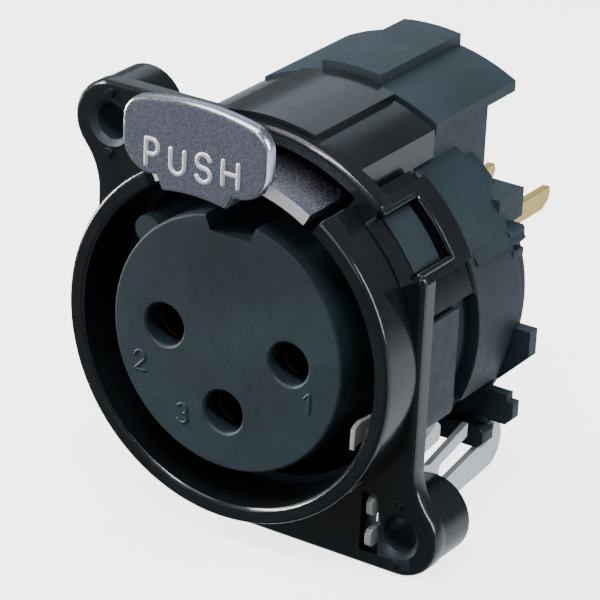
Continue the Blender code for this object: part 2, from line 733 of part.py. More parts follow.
def earth_slots(tools):
    """Way of the earth sheet through the flange and past the shell."""
    inner = SHEET_INNER_X - FIT
    outer = SHEET_OUTER_X + FIT
    top = -PRONG_TOP + PRONG_MARGIN
    low = -PRONG_LOW - PRONG_MARGIN
    around = box(inner - PRONG_RECESS, outer + FIT, low - PRONG_RECESS, top + PRONG_MARGIN)
    recess = flat("prong_recess", around, -PAST, PRONG_RECESS, tools)
    slit = flat("prong_slit", box(inner, outer, low, top), -PAST, FLANGE_DEPTH + PAST, tools)
    lane = flat("sheet_lane", box(inner, outer, -FLANGE_RADIUS - PAST, -WEB_TOP + SNAP_ROOT), FLANGE_DEPTH,
                STRAP_REAR + PAST, tools)
    return [recess, slit, lane]


def trunnion_pockets(tools):
    pockets = []
    for side in (-1, 1):
        reach = sorted((side * (BAY_HALF_WIDTH - PAST), side * (TRUNNION_REACH + FIT)))
        outline = arc(TRUNNION_RADIUS + FIT, 0.0, 345.0, 23, (PIVOT_Y, PIVOT_Z))
        pockets.append(flat("pocket", outline, reach[0], reach[1], tools, ACROSS_X))
    return pockets


def rear_body(parts, tools):
    """One moulding: sleeve with side wings, band, floor, latch roof, walls, snap blocks and feet."""
    body = turned("band", [
        (SLEEVE_OUTER, SLEEVE_FRONT),
        (SLEEVE_OUTER, BAND_FRONT),
        (BAND_OUTER - FIT, BAND_FRONT),
        (BAND_OUTER, BAND_FRONT + FIT),
        (BAND_OUTER, BAND_REAR),
        (FLOOR_RADIUS, BAND_REAR),
        (FLOOR_RADIUS, FLOOR_REAR),
        (0.0, FLOOR_REAR),
        (0.0, INSERT_REAR + CLEAR),
        (POCKET_RADIUS, INSERT_REAR + CLEAR),
        (POCKET_RADIUS, BAND_REAR - PAST),
        (SLEEVE_INNER, BAND_REAR - PAST),
        (SLEEVE_INNER, SLEEVE_FRONT),
    ], tools)
    gap = box(-GAP_HALF_WIDTH, GAP_HALF_WIDTH, 0.0, FLANGE_RADIUS)
    cut(body, flat("latch_gap", gap, SLEEVE_FRONT - PAST, BAND_FRONT - BORE_STEP, tools))
    cut(body, *sleeve_grooves(tools), *band_recesses(tools))
    join(body, *rear_walls(tools), roof(tools), *snap_blocks(tools), *side_wings(tools))
    join(body, *rear_blocks(tools), *rear_feet(tools), spring_seat(tools), spigot(tools))
    cut(body, *arm_grooves(tools), *tail_slots(tools), sheet_gap(tools))
    return finish(body, body_plastic(), "rear_body", parts)


def roof(tools):
    """Arched roof over the latch arm with a raised centre rib."""
    limit = ROOF_HALF_WIDTH
    outline = capped(ROOF_OUTER, limit, 16) + list(reversed(capped(ROOF_INNER, limit, 16)))
    cover = flat("roof", outline, ROOF_FRONT, ROOF_REAR, tools)
    ridge = capped(RIB_OUTER, RIB_HALF_WIDTH, 8)
    ridge += [(RIB_HALF_WIDTH, ROOF_INNER), (-RIB_HALF_WIDTH, ROOF_INNER)]
    join(cover, flat("ridge", ridge, ROOF_FRONT, ROOF_REAR, tools))
    half = RIB_HALF_WIDTH - RIB_WALL
    channel = box(-half, half, ROOF_INNER - PAST, CHANNEL_Z)
    cut(cover, flat("channel", channel, ROOF_FRONT - PAST, ROOF_REAR - RIB_END, tools))
    return cover


def rear_walls(tools):
    """Upright walls that carry the roof on both sides."""
    walls = []
    top = math.sqrt(ROOF_INNER ** 2 - WALL_X ** 2) + CLEAR
    for side in (-1, 1):
        edge = sorted((side * (WALL_X - WALL_THICK), side * WALL_X))
        front = box(edge[0], edge[1], BAND_OUTER - WALL_ROOT, top)
        walls.append(flat("wall_front", front, ROOF_FRONT, BAND_REAR + PAST, tools))
        back = box(edge[0], edge[1], SEAT_Z - WALL_SKIRT, top)
        walls.append(flat("wall_back", back, BAND_REAR - FIT, WALL_REAR, tools))
    return walls


def snap_blocks(tools):
    blocks = []
    for start, end in ((WINDOW_FROM, WINDOW_TO), (-WINDOW_TO, -WINDOW_FROM),
                       (180.0 - LOW_WINDOW_ANGLE, 180.0 + LOW_WINDOW_ANGLE)):
        outline = sector(SLEEVE_INNER + SNAP_ROOT, SHELL_OUTER + SNAP_RAISE, start + SNAP_ANGLE_GAP,
                         end - SNAP_ANGLE_GAP, 10)
        blocks.append(flat("snap", outline, WINDOW_FRONT + FIT, WINDOW_REAR - SNAP_BACK, tools))
    return blocks


def side_wings(tools):
    """Flat-sided wings that fill the shell on both sides, each with a lower step behind it."""
    shapes = []
    for side in (-1, 1):
        ends = sorted((side * WING_FROM, side * WING_TO))
        outline = sector(SLEEVE_OUTER - SNAP_ROOT, STRAP_OUTER, ends[0], ends[1], 16)
        outline = [(side * min(side * x, WING_X), z) for x, z in outline]
        shapes.append(flat("wing", outline, WING_FRONT, WING_REAR, tools))
        inner = sector(SLEEVE_OUTER - SNAP_ROOT, SHELL_INNER, ends[0] + NOTCH_SPREAD, ends[1] - NOTCH_SPREAD, 14)
        shapes.append(flat("wing_step", inner, WING_REAR - FIT, WING_REAR + WING_STEP, tools))
    return shapes


def rear_blocks(tools):
    """Stepped blocks, nub, rim pieces and bar on both sides of the rear rim."""
    front = BAND_REAR - BLOCK_ROOT
    shapes = []
    for side in (-1, 1):
        for outline, rear in ((top_block(), TOP_BLOCK_STAND), (mid_block(), MID_BLOCK_STAND), (nub(), NUB_STAND)):
            mirrored = [(side * x, z) for x, z in outline]
            shapes.append(flat("rear_block", mirrored, front, BAND_REAR + rear, tools))
        outer = BAND_OUTER - SIDE_RIM_INSET
        for start, end in SIDE_RIM_ANGLES:
            ends = sorted((side * start, side * end))
            outline = sector(outer - SIDE_RIM_WALL, outer, ends[0], ends[1], 8)
            shapes.append(flat("side_rim", outline, front, BAND_REAR + SIDE_RIM_STAND, tools))
        outline = [polar(BAND_OUTER + BAR_LOW_RAISE, BAR_FROM), polar(BAND_OUTER + BAR_RAISE, BAR_TO),
                   polar(BAND_OUTER - BAR_ROOT, BAR_TO), polar(BAND_OUTER - BAR_ROOT, BAR_FROM)]
        bar = [(side * x, z) for x, z in outline]
        shapes.append(flat("bar", bar, BAND_FRONT + BAR_SET, BAND_REAR + MID_BLOCK_STAND - FIT, tools))
    return shapes


def top_block():
    outer = BAND_OUTER - TOP_BLOCK_INSET
    low = TOP_BLOCK_Z - TOP_BLOCK_HEIGHT
    return [(outer - TOP_BLOCK_WIDTH, TOP_BLOCK_Z), (outer, TOP_BLOCK_Z), (outer, low + BLOCK_CHAMFER),
            (outer - BLOCK_CHAMFER, low), (outer - TOP_BLOCK_WIDTH, low)]


def mid_block():
    outer = BAND_OUTER - MID_BLOCK_INSET
    low = MID_BLOCK_Z - MID_BLOCK_HEIGHT
    return [(outer - MID_BLOCK_WIDTH, MID_BLOCK_Z), (outer - FIT, MID_BLOCK_Z), (outer, MID_BLOCK_Z - FIT),
            (outer, low + BLOCK_CHAMFER), (outer - BLOCK_CHAMFER, low), (outer - MID_BLOCK_WIDTH, low)]


def nub():
    outer = BAND_OUTER - NUB_INSET
    return box(outer - NUB_WIDTH, outer, NUB_Z - NUB_HEIGHT, NUB_Z)


def rear_feet(tools):
    """Side lug and the two feet below it, on the right only."""
    lug_x = BAND_OUTER + SIDE_LUG_OUT
    lug_low = SIDE_LUG_TOP + SIDE_LUG_HEIGHT
    inner = lug_x - SIDE_LUG_ROOT
    lug = [(inner, -SIDE_LUG_TOP), (lug_x, -SIDE_LUG_TOP), (lug_x, -lug_low),
           (lug_x - SIDE_LUG_SLANT, -lug_low - SIDE_LUG_SLANT), (inner, -lug_low - SIDE_LUG_SLANT)]
    foot_x = BAND_OUTER + FOOT_OUT
    foot_low = FOOT_TOP + FOOT_HEIGHT
    foot = [(foot_x - FOOT_ROOT, -FOOT_TOP), (foot_x - FOOT_STEP, -FOOT_TOP),
            (foot_x - FOOT_STEP, -FOOT_TOP - FOOT_STEP), (foot_x, -FOOT_TOP - FOOT_STEP),
            (foot_x, -foot_low + FOOT_STEP), (foot_x - FOOT_STEP, -foot_low), (foot_x - FOOT_ROOT, -foot_low)]
    hook_x = BAND_OUTER - HOOK_INSET
    hook_low = HOOK_TOP + HOOK_HEIGHT
    hook = [(hook_x - HOOK_ROOT, -HOOK_TOP), (hook_x - HOOK_ROUND, -HOOK_TOP), (hook_x, -HOOK_TOP - HOOK_ROUND),
            (hook_x, -hook_low + HOOK_ROUND), (hook_x - HOOK_ROUND, -hook_low), (hook_x - HOOK_ROOT, -hook_low)]
    front = BAND_REAR - BLOCK_ROOT
    return [
        flat("lug", lug, front, BAND_REAR + SIDE_LUG_STAND, tools),
        flat("foot", foot, front, BAND_REAR + FOOT_STAND, tools),
        flat("hook", hook, BAND_REAR - HOOK_BACK, BAND_REAR + HOOK_STAND, tools),
    ]


def spring_seat(tools):
    shelf = box(-SEAT_HALF_WIDTH, SEAT_HALF_WIDTH, SEAT_Z - SEAT_DEPTH, SEAT_Z)
    return flat("seat", shelf, FLOOR_REAR - BLOCK_ROOT, SEAT_REAR, tools)


def spigot(tools):
    outline = arc(SPIGOT_RADIUS, 0.0, 337.5, 15, (0.0, SPRING_Y))
    return flat("spigot", outline, SEAT_Z - FIT, SEAT_Z + SPIGOT_HEIGHT, tools, ACROSS_Z)


def arm_grooves(tools):
    """Flat in the band and notch in the floor that let the latch arm swing down."""
    over = box(-GROOVE_HALF_WIDTH, GROOVE_HALF_WIDTH, BAND_FLAT_Z, ROOF_INNER - PAST)
    under = box(-GROOVE_HALF_WIDTH, GROOVE_HALF_WIDTH, FLOOR_FLAT_Z, ROOF_INNER - PAST)
    return [
        flat("arm_groove", over, BAND_FRONT - PAST, FLOOR_REAR + PAST, tools),
        flat("arm_notch", under, BAND_REAR + ARM_NOTCH_SET, FLOOR_REAR + PAST, tools),
    ]


def sleeve_grooves(tools):
    """Shallow groove on both sides of the sleeve, just ahead of the band."""
    grooves = []
    for side in (-1, 1):
        ends = sorted((side * GROOVE_FROM, side * GROOVE_TO))
        outline = sector(SLEEVE_OUTER - GROOVE_DEPTH, BAND_OUTER + PAST, ends[0], ends[1], 12)
        grooves.append(flat("groove", outline, BAND_FRONT - GROOVE_LENGTH, BAND_FRONT + BORE_STEP, tools))
    return grooves


def band_recesses(tools):
    """Low place in the band above the feet, left and right."""
    recesses = []
    for side in (-1, 1):
        ends = sorted((side * RECESS_FROM, side * RECESS_TO))
        outline = sector(BAND_OUTER - RECESS_DEPTH, BAND_OUTER + PAST, ends[0], ends[1], 12)
        recesses.append(flat("recess", outline, BAND_FRONT - FIT, BAND_REAR - RECESS_END, tools))
    return recesses


def tail_slots(tools):
    half = TAIL_THICK / 2 + FIT
    slots = []
    for x in (-CONTACT_CIRCLE, CONTACT_CIRCLE):
        opening = box(x - half, x + half, -TAIL_HEIGHT / 2 - FIT, TAIL_TOP_SIDE + FIT)
        slots.append(flat("tail_slot", opening, INSERT_REAR, FLOOR_REAR + PAST, tools))
    low = -CONTACT_CIRCLE
    opening = box(-half, half, low - TAIL_HEIGHT / 2 - FIT, low + TAIL_HEIGHT / 2 + FIT)
    slots.append(flat("tail_slot", opening, INSERT_REAR, FLOOR_REAR + PAST, tools))
    return slots


def sheet_gap(tools):
    """Way of the earth sheet and its finger past the sleeve."""
    lane = box(SHEET_INNER_X - FIT, SHEET_OUTER_X + FIT, -WEB_LOW, -FINGER_TOP + CLEAR)
    return flat("sheet_gap", lane, SLEEVE_FRONT - PAST, BAND_FRONT - BORE_STEP, tools)


def contact_places():
    return [(CONTACT_CIRCLE, 0.0), (-CONTACT_CIRCLE, 0.0), (0.0, -CONTACT_CIRCLE)]


def contact_insert(parts, tools):
    """Round insert with three stepped contact holes, a key notch and a key lug."""
    body = turned("insert", [
        (0.0, INSERT_FRONT),
        (INSERT_RADIUS - INSERT_EDGE, INSERT_FRONT),
        (INSERT_RADIUS - INSERT_EDGE / 3, INSERT_FRONT + INSERT_EDGE / 3),
        (INSERT_RADIUS, INSERT_FRONT + INSERT_EDGE),
        (INSERT_RADIUS, INSERT_REAR),
        (0.0, INSERT_REAR),
    ], tools)
    lug = plug("key_lug", KEY_LUG_RADIUS, INSERT_FRONT + INSERT_EDGE, KEY_REAR, tools,
               polar(INSERT_RADIUS + KEY_LUG_OUT, KEY_LUG_ANGLE), 20)
    join(body, lug)
    mouth = KEY_HALF_WIDTH + KEY_FLARE
    notch = [(-KEY_HALF_WIDTH, KEY_FLOOR_Z), (KEY_HALF_WIDTH, KEY_FLOOR_Z),
             (mouth, INSERT_RADIUS + PAST), (-mouth, INSERT_RADIUS + PAST)]
    cut(body, flat("key_notch", notch, INSERT_FRONT - PAST, KEY_REAR, tools))
    for place in contact_places():
        cut(body, turned("contact_hole", [
            (0.0, INSERT_FRONT - PAST),
            (HOLE_RADIUS + HOLE_CHAMFER, INSERT_FRONT - PAST),
            (HOLE_RADIUS + HOLE_CHAMFER, INSERT_FRONT),
            (HOLE_RADIUS, INSERT_FRONT + HOLE_CHAMFER),
            (HOLE_RADIUS, CHAMBER_FRONT),
            (CHAMBER_RADIUS, CHAMBER_FRONT),
            (CHAMBER_RADIUS, INSERT_REAR + PAST),
            (0.0, INSERT_REAR + PAST),
        ], tools, place, 32))
    return finish(body, insert_plastic(), "contact_insert", parts)


def contact(number, place, blade, parts, tools):
    """Slotted round socket with a flat stamped tail."""
    body = turned("socket", [
        (SOCKET_INNER, SOCKET_FRONT),
        (SOCKET_OUTER - FIT, SOCKET_FRONT),
        (SOCKET_OUTER, SOCKET_FRONT + FIT),
        (SOCKET_OUTER, SOCKET_REAR),
        (0.0, SOCKET_REAR),
        (0.0, SOCKET_BORE_REAR),
        (SOCKET_INNER, SOCKET_BORE_REAR),
    ], tools, place, 28)
    half = SOCKET_SLOT / 2
    slit = box(place[0] - half, place[0] + half, place[1] - SOCKET_OUTER - PAST, place[1] + SOCKET_OUTER + PAST)
    cut(body, flat("slit", slit, SOCKET_FRONT - PAST, SOCKET_FRONT + SOCKET_SLOT_LENGTH, tools))
    tail = flat("tail", blade, place[0] - TAIL_THICK / 2, place[0] + TAIL_THICK / 2, tools, ACROSS_X)
    join(body, tail)
    return finish(body, gold(), f"contact_{number}", parts)


def tail_end(end, top):
    """Rear end of a tail with its lower corner taken off."""
    low = top - TAIL_HEIGHT
    return [(end - 2 * TAIL_TIP, low), (end - TAIL_TIP / 2, low + TAIL_TIP), (end, low + 2 * TAIL_TIP),
            (end - TAIL_TIP / 3, top)]


def side_blade():
    """Tail of the two side contacts, cranked up a little behind the floor."""
    half = TAIL_HEIGHT / 2
    root = SOCKET_REAR - TAIL_ROOT
    bend = FLOOR_REAR + TAIL_BEND
    start = [(root, -half), (bend, -half), (bend + TAIL_CRANK, TAIL_TOP_SIDE - TAIL_HEIGHT)]
    return start + tail_end(TAIL_END, TAIL_TOP_SIDE) + [(bend, TAIL_TOP_SIDE), (bend, half), (root, half)]


def low_blade():
    """Tail of the lower contact, raised to the height of the other two."""
    half = TAIL_HEIGHT / 2
    base = -CONTACT_CIRCLE
    root = SOCKET_REAR - TAIL_ROOT
    riser = FLOOR_REAR + TAIL_CRANK
    back = riser + TAIL_HEIGHT
    start = [(root, base - half), (back, base - half), (back, TAIL_TOP_LOW - TAIL_HEIGHT)]
    end = tail_end(TAIL_END + TAIL_LOW_EXTRA, TAIL_TOP_LOW)
    return start + end + [(riser, TAIL_TOP_LOW), (riser, base + half), (root, base + half)]


def sheet_outline():
    """Flat pattern of the earth sheet: prongs, web with the finger root, inner leg and hooked tag."""
    root = WEB_FRONT + PRONG_TIP
    finger = FINGER_FRONT + FINGER_WIDTH
    slit = WEB_REAR - SLIT_LENGTH
    prongs = [(WEB_FRONT, -PRONG_LOW), (-FIT, -PRONG_LOW), (-PRONG_OUT, -PRONG_LOW + PRONG_TIP),
              (-PRONG_OUT, -PRONG_LOW_TOP - PRONG_TIP), (-FIT, -PRONG_LOW_TOP), (PRONG_LENGTH, -PRONG_LOW_TOP),
              (PRONG_LENGTH, -PRONG_MID), (-FIT, -PRONG_MID), (-PRONG_OUT, -PRONG_MID + PRONG_TIP),
              (-PRONG_OUT, -PRONG_TOP - PRONG_TIP), (-FIT, -PRONG_TOP), (WEB_FRONT, -PRONG_TOP)]
    web = [(WEB_FRONT, -WEB_LOW), (root + PRONG_LENGTH, -WEB_TOP), (FINGER_FRONT, -WEB_TOP),
           (FINGER_FRONT, -FINGER_TOP), (finger, -FINGER_TOP), (finger, -WEB_TOP),
           (WEB_REAR - PAST, -WEB_TOP), (WEB_REAR, -WEB_TOP - PAST), (WEB_REAR, -WEB_LOW + FIT),
           (WEB_REAR - FIT, -WEB_LOW), (slit, -SLIT_TOP)]
    low_edge = LEG_TOP + LEG_DROP
    leg = [(slit, -SLIT_TOP - SLIT_HEIGHT), (LEG_FRONT, -low_edge), (LEG_REAR, -LEG_TOP),
           (LEG_REAR, -LEG_TOP - LEG_HEIGHT), (LEG_FRONT + BEND_WIDTH, -low_edge - PAST),
           (LEG_FRONT + BEND_WIDTH - FIT, -low_edge - LEG_HEIGHT),
           (LEG_FRONT + BEND_WIDTH, -TAG_TOP + CLEAR), (TAG_FRONT, -TAG_TOP)]
    hook = arc(HOOK_INNER_RADIUS, 214.0, 90.0, 8, (HOOK_CENTRE_Y, -HOOK_CENTRE_Z))
    tip_y = HOOK_CENTRE_Y + HOOK_INNER_RADIUS + CLEAR
    hook.append((tip_y, -HOOK_CENTRE_Z + FIT))
    outer = (HOOK_CENTRE_Y + HOOK_OUTER_SET, -HOOK_CENTRE_Z - HOOK_OUTER_DROP)
    hook += arc(HOOK_OUTER_RADIUS, 62.0, 156.0, 8, outer)
    foot = [(TAG_FRONT + HOOK_OUTER_RADIUS, -TAG_LOW), (TAG_FRONT - CLEAR, -TAG_LOW - FIT / 2)]
    return prongs + web + leg + hook + foot + [(LEG_FRONT, -TAG_LOW + SNAP_ROOT)]


def earth_contact(parts, tools):
    """Folded sheet: two prongs through the flange, a shell finger, an inner leg and a hooked tag."""
    body = flat("sheet", sheet_outline(), SHEET_INNER_X, SHEET_OUTER_X, tools, ACROSS_X)
    middle = SHEET_OUTER_X - SHEET_THICK / 2
    tip = middle - FINGER_BOW
    path = [(middle, FINGER_FRONT + FINGER_WIDTH - CLEAR), (middle, FINGER_FRONT - FINGER_BOW),
            (tip + FIT, 0.0), (tip, -FINGER_TIP / 2), (tip + FIT, -FINGER_TIP + PAST), (tip + CLEAR, -FINGER_TIP)]
    half = FINGER_THICK / 2
    left = [(x - half, y) for x, y in path]
    right = [(x + half, y) for x, y in reversed(path)]
    high = -FINGER_TOP - FINGER_INSET
    join(body, flat("finger", left + right, high - FINGER_HEIGHT, high, tools, ACROSS_Z))
    return finish(body, tin(), "earth_contact", parts)


def tab_outline():
    """Push tab: a wide rounded shield that narrows to the neck at its lower edge."""
    top_x = TAB_HALF_WIDTH - TAB_TOP_CORNER
    top_z = math.sqrt((TAB_TOP_RADIUS - TAB_TOP_CORNER) ** 2 - top_x ** 2)
    top_turn = math.degrees(math.atan2(top_x, top_z))
    low_x = TAB_HALF_WIDTH - TAB_BOTTOM_CORNER
    low_z = math.sqrt((TAB_BOTTOM_RADIUS + TAB_BOTTOM_CORNER) ** 2 - low_x ** 2)
    low_turn = math.degrees(math.atan2(low_x, low_z))
    half = arc(TAB_TOP_RADIUS, 0.0, top_turn, 6)
    half += arc(TAB_TOP_CORNER, top_turn, 90.0, 7, (top_x, top_z))[1:]
    half += arc(TAB_BOTTOM_CORNER, 90.0, 180.0 + low_turn, 9, (low_x, low_z))
    neck = math.degrees(math.asin(NECK_HALF_WIDTH / NECK_INNER))
    half += arc(NECK_INNER, neck, 0.0, 5)
    return half + [(-x, z) for x, z in reversed(half[1:-1])]


def latch_lever(parts, tools):
    """One casting: push tab, neck, arched plate with a tooth, side trunnions and a rear arm."""
    plate = flat("plate", sector(PLATE_INNER, PLATE_OUTER, -PLATE_ANGLE, PLATE_ANGLE, 14),
                 PLATE_FRONT, PLATE_REAR, tools)
    for side in (-1, 1):
        edge = sorted((side * PLATE_TAIL_HALF_WIDTH, side * HUMP_HALF_WIDTH))
        trim = box(edge[0], edge[1], 0.0, FLANGE_RADIUS)
        cut(plate, flat("plate_trim", trim, PLATE_SHOULDER_Y, PLATE_REAR + PAST, tools))
    tab = flat("tab", tab_outline(), TAB_FRONT, TAB_FRONT + TAB_DEPTH, tools)
    soften(tab, lambda end: end.y < TAB_FRONT + FIT, TAB_EDGE, 2)
    spread = math.degrees(math.asin((NECK_HALF_WIDTH + NECK_FLARE) / NECK_OUTER))
    narrow = math.degrees(math.asin(NECK_HALF_WIDTH / NECK_INNER))
    neck = arc(NECK_OUTER, -spread, spread, 8) + arc(NECK_INNER, narrow, -narrow, 8)
    web = flat("neck", neck, TAB_FRONT + TAB_DEPTH / 2, PLATE_FRONT + NECK_ROOT, tools)
    root = PLATE_OUTER - FIT
    tooth = [(TOOTH_REAR, root), (TOOTH_FRONT, root), (TOOTH_FRONT, TOOTH_INNER + TOOTH_LEAD),
             (TOOTH_REAR - CLEAR, TOOTH_INNER), (TOOTH_REAR, TOOTH_INNER)]
    hook = flat("tooth", tooth, -TOOTH_HALF_WIDTH, TOOTH_HALF_WIDTH, tools, ACROSS_X)
    front = PIVOT_Y - ARM_ROOT
    back = PIVOT_Y + ARM_HEEL
    sunk = PLATE_OUTER - ARM_SINK
    arm_line = [(front, sunk), (front + ARM_THICK, ARM_HIGH), (ARM_REAR, ARM_HIGH), (ARM_REAR, ARM_LOW),
                (back + ARM_THICK, ARM_LOW), (back, sunk)]
    arm = flat("arm", arm_line, -ARM_HALF_WIDTH, ARM_HALF_WIDTH, tools, ACROSS_X)
    join(plate, tab, web, hook, arm)
    for side in (-1, 1):
        place = (PIVOT_Y, PIVOT_Z)
        lug_ends = sorted((side * LUG_INNER_X, side * PLATE_TAIL_HALF_WIDTH))
        lug = flat("lug", arc(LUG_RADIUS, 0.0, 345.0, 23, place), lug_ends[0], lug_ends[1], tools, ACROSS_X)
        pin_ends = sorted((side * (LUG_INNER_X + CLEAR), side * TRUNNION_REACH))
        pin = flat("trunnion", arc(TRUNNION_RADIUS, 0.0, 345.0, 23, place), pin_ends[0], pin_ends[1],
                   tools, ACROSS_X)
        join(plate, lug, pin)
    lever = finish(plate, nickel(), "latch_lever", parts)
    return hang_on_pivot(lever, parts)


def hang_on_pivot(lever, parts):
    """Parent the latch to an empty on its turning axis."""
    pivot = bpy.data.objects.new("latch_pivot", None)
    pivot.location = (0.0, PIVOT_Y, PIVOT_Z)
    pivot.empty_display_size = 2.0 * MM
    parts.objects.link(pivot)
    bpy.context.view_layer.update()
    lever.parent = pivot
    lever.matrix_parent_inverse = pivot.matrix_world.inverted()
    return lever


def latch_spring(parts, tools):
    """Small coil spring that presses the rear arm of the latch up."""
    low = SEAT_Z + CLEAR + SPRING_WIRE
    high = ARM_LOW - CLEAR - SPRING_WIRE
    curve = bpy.data.curves.new("latch_spring", "CURVE")
    curve.dimensions = "3D"
    curve.bevel_depth = SPRING_WIRE
    curve.bevel_resolution = 1
    curve.use_fill_caps = True
    count = int(SPRING_TURNS * 16)
    spline = curve.splines.new("POLY")
    spline.points.add(count)
    for i in range(count + 1):
        share = i / count
        turn = 2 * math.pi * SPRING_TURNS * share
        spline.points[i].co = (SPRING_RADIUS * math.cos(turn), SPRING_Y + SPRING_RADIUS * math.sin(turn),
                               low + (high - low) * share, 1.0)
    drawn = bpy.data.objects.new("latch_spring", curve)
    tools.objects.link(drawn)
    coil = solid_of(drawn, "latch_spring", tools, False)
    return finish(coil, spring_steel(), "latch_spring", parts, 60.0)


def main():
    """Build every piece in its own collection and put the cutters away."""
    for item in list(bpy.data.objects):
        bpy.data.objects.remove(item)
    parts = new_group("xlr_panel_socket")
    tools = new_group("cutters")
    front_housing(parts, tools)
    rear_body(parts, tools)
    contact_insert(parts, tools)
    places = contact_places()
    contact(1, places[0], side_blade(), parts, tools)
    contact(2, places[1], side_blade(), parts, tools)
    contact(3, places[2], low_blade(), parts, tools)
    earth_contact(parts, tools)
    latch_lever(parts, tools)
    latch_spring(parts, tools)
    for tool in tools.objects:
        tool.hide_render = True
        tool.hide_set(True)
        tool.display_type = "WIRE"


main()
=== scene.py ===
"""Looks of the female three-pole panel receptacle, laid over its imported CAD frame."""
import json
import math

import bmesh
import bpy
import numpy as np
from mathutils import Matrix, Vector


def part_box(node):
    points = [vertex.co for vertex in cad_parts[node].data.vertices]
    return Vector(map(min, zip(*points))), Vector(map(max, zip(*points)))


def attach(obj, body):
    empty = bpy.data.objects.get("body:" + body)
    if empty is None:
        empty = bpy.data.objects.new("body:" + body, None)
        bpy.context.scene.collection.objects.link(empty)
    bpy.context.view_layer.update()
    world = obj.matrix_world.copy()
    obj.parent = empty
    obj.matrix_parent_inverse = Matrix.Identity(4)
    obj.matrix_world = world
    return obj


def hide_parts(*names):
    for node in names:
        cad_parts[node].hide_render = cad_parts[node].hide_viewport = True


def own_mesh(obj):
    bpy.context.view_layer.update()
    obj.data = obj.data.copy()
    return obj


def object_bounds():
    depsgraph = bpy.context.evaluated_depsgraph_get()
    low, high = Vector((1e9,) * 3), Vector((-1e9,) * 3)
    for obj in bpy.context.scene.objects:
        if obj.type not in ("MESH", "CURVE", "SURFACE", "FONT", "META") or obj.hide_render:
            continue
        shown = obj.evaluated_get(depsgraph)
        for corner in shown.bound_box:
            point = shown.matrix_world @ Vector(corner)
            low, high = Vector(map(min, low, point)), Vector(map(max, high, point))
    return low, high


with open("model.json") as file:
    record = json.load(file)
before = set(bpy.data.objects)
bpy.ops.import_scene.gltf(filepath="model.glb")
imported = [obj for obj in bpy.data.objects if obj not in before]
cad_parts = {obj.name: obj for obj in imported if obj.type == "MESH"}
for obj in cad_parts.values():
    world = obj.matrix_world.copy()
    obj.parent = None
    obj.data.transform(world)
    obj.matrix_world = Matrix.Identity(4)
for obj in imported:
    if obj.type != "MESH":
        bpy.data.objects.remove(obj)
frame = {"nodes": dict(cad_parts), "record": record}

bl_info = {
    "name": "Panel Receptacle Looks",
    "version": (1, 0, 0),
    "blender": (4, 5, 0),
    "location": "View3D > Sidebar > Receptacle",
    "description": "Finishes, rounded edges, numbers, latch letters and studio of a panel receptacle",
    "category": "Object",
}

MM = 0.001
TAU = 2.0 * math.pi
WHITE = (1.0, 1.0, 1.0)
CAD_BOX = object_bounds()

# Places on the solids where a finish changes, and where the painted shade and the painted highlights begin
EAR_X = 10.43 * MM
EAR_Z = 10.1 * MM
SCREW_RADIUS = 1.7 * MM
TAIL_START = 11.0 * MM
TAB_BACK = -5.9 * MM
PLATE_LIP = -1.2 * MM
PLATE_TOP = 11.9 * MM
PLATE_LEAN = 0.3
BORDER_LEAN_LOW = 0.1
BORDER_LEAN_HIGH = 0.85

# Rounding of the solids
MERGE_DISTANCE = 0.002 * MM
FLAT_ANGLE = math.radians(0.6)
BEVEL_ANGLE = math.radians(28.0)
BEVEL_SEGMENTS = 2
BODY_ROUND_SHARE = 0.8
SOLID_SHARP_ANGLE = math.radians(32.0)
SURFACE_SHARP_ANGLE = math.radians(50.0)
BUMP_DISTANCE = 0.05 * MM

# Lips round the snap windows, with their angles in degrees from +Z, and the web between the feet
STRAP_RADIUS = 11.5 * MM
WINDOW_FRONT = 1.4 * MM
WINDOW_REAR = 4.9 * MM
WINDOW_MIDDLE = 50.5
WINDOW_HALF = 10.2
BEAD_ARC_POINTS = 22
BEAD_SIDE_POINTS = 12
WEB_RIGHT_X = 9.15 * MM
WEB_LEFT_X = 6.2 * MM
WEB_Y = 11.85 * MM
WEB_Z = -7.62 * MM

# Latch spring
SPRING_TURNS = 4.5
SPRING_POINTS = 240
WIRE_COLOUR = (0.55, 0.55, 0.57)

# Signs: the letter or digit, its left and lower edge, width and height, in millimetres
PIN_NUMBERS = (
    ("1", 5.4, -2.6, 0.75, 1.2),
    ("2", -6.3, -3.3, 0.75, 1.2),
    ("3", -3.2, -5.8, 0.75, 1.2),
)
TAB_LETTERS = (
    ("P", -3.15, 11.56, 0.82, 1.56),
    ("U", -1.50, 11.50, 0.92, 1.40),
    ("S", 0.22, 11.48, 0.97, 1.62),
    ("H", 1.98, 11.69, 1.00, 1.38),
)
SIGN_RELIEF = 0.6

# Tubes: rings of the half sphere at each end, as shares of the radius beyond it
CAP_STEPS = np.array([0.999, 0.8, 0.4])
CAP_WIDTHS = np.sqrt(1.0 - CAP_STEPS ** 2)

# Camera at the photograph's angle
VIEW_TURN = math.radians(32.155)
VIEW_TILT = math.radians(24.280)
VIEW_ROLL = math.radians(2.769)
VIEW_DISTANCE = 209.3 * MM
VIEW_AIM = Vector((3.134 * MM, 0.0, 2.723 * MM))
LENS = 221.04
SENSOR_WIDTH = 36.0
CLIP_START = 1.0 * MM
CLIP_END = 10.0

# Floor and the wall that it bends up into
FLOOR_Z = CAD_BOX[0][2] - 0.05 * MM
FLOOR_START = 0.05
FLOOR_MIDDLE_LIMIT = 0.06
FLOOR_REACH = 1.6
FLOOR_BEND = 0.8
FLOOR_WALL = 1.2
FLAT_POINTS = 12
BEND_POINTS = 24
FLOOR_SIDES = 96

# Light from all round, and the glow off the table: its way, and the heights between which it grows
ROOM_TINT = (0.86, 0.94, 1.0, 1.0)
DIM_LIGHT = 0.15
TABLE_GLOW = 1.7
TABLE_GLOW_WAY = (0.53, 0.85, 0.0)
TABLE_GLOW_FULL = 0.85
TABLE_EDGE = 0.02
TABLE_FULL = -0.25

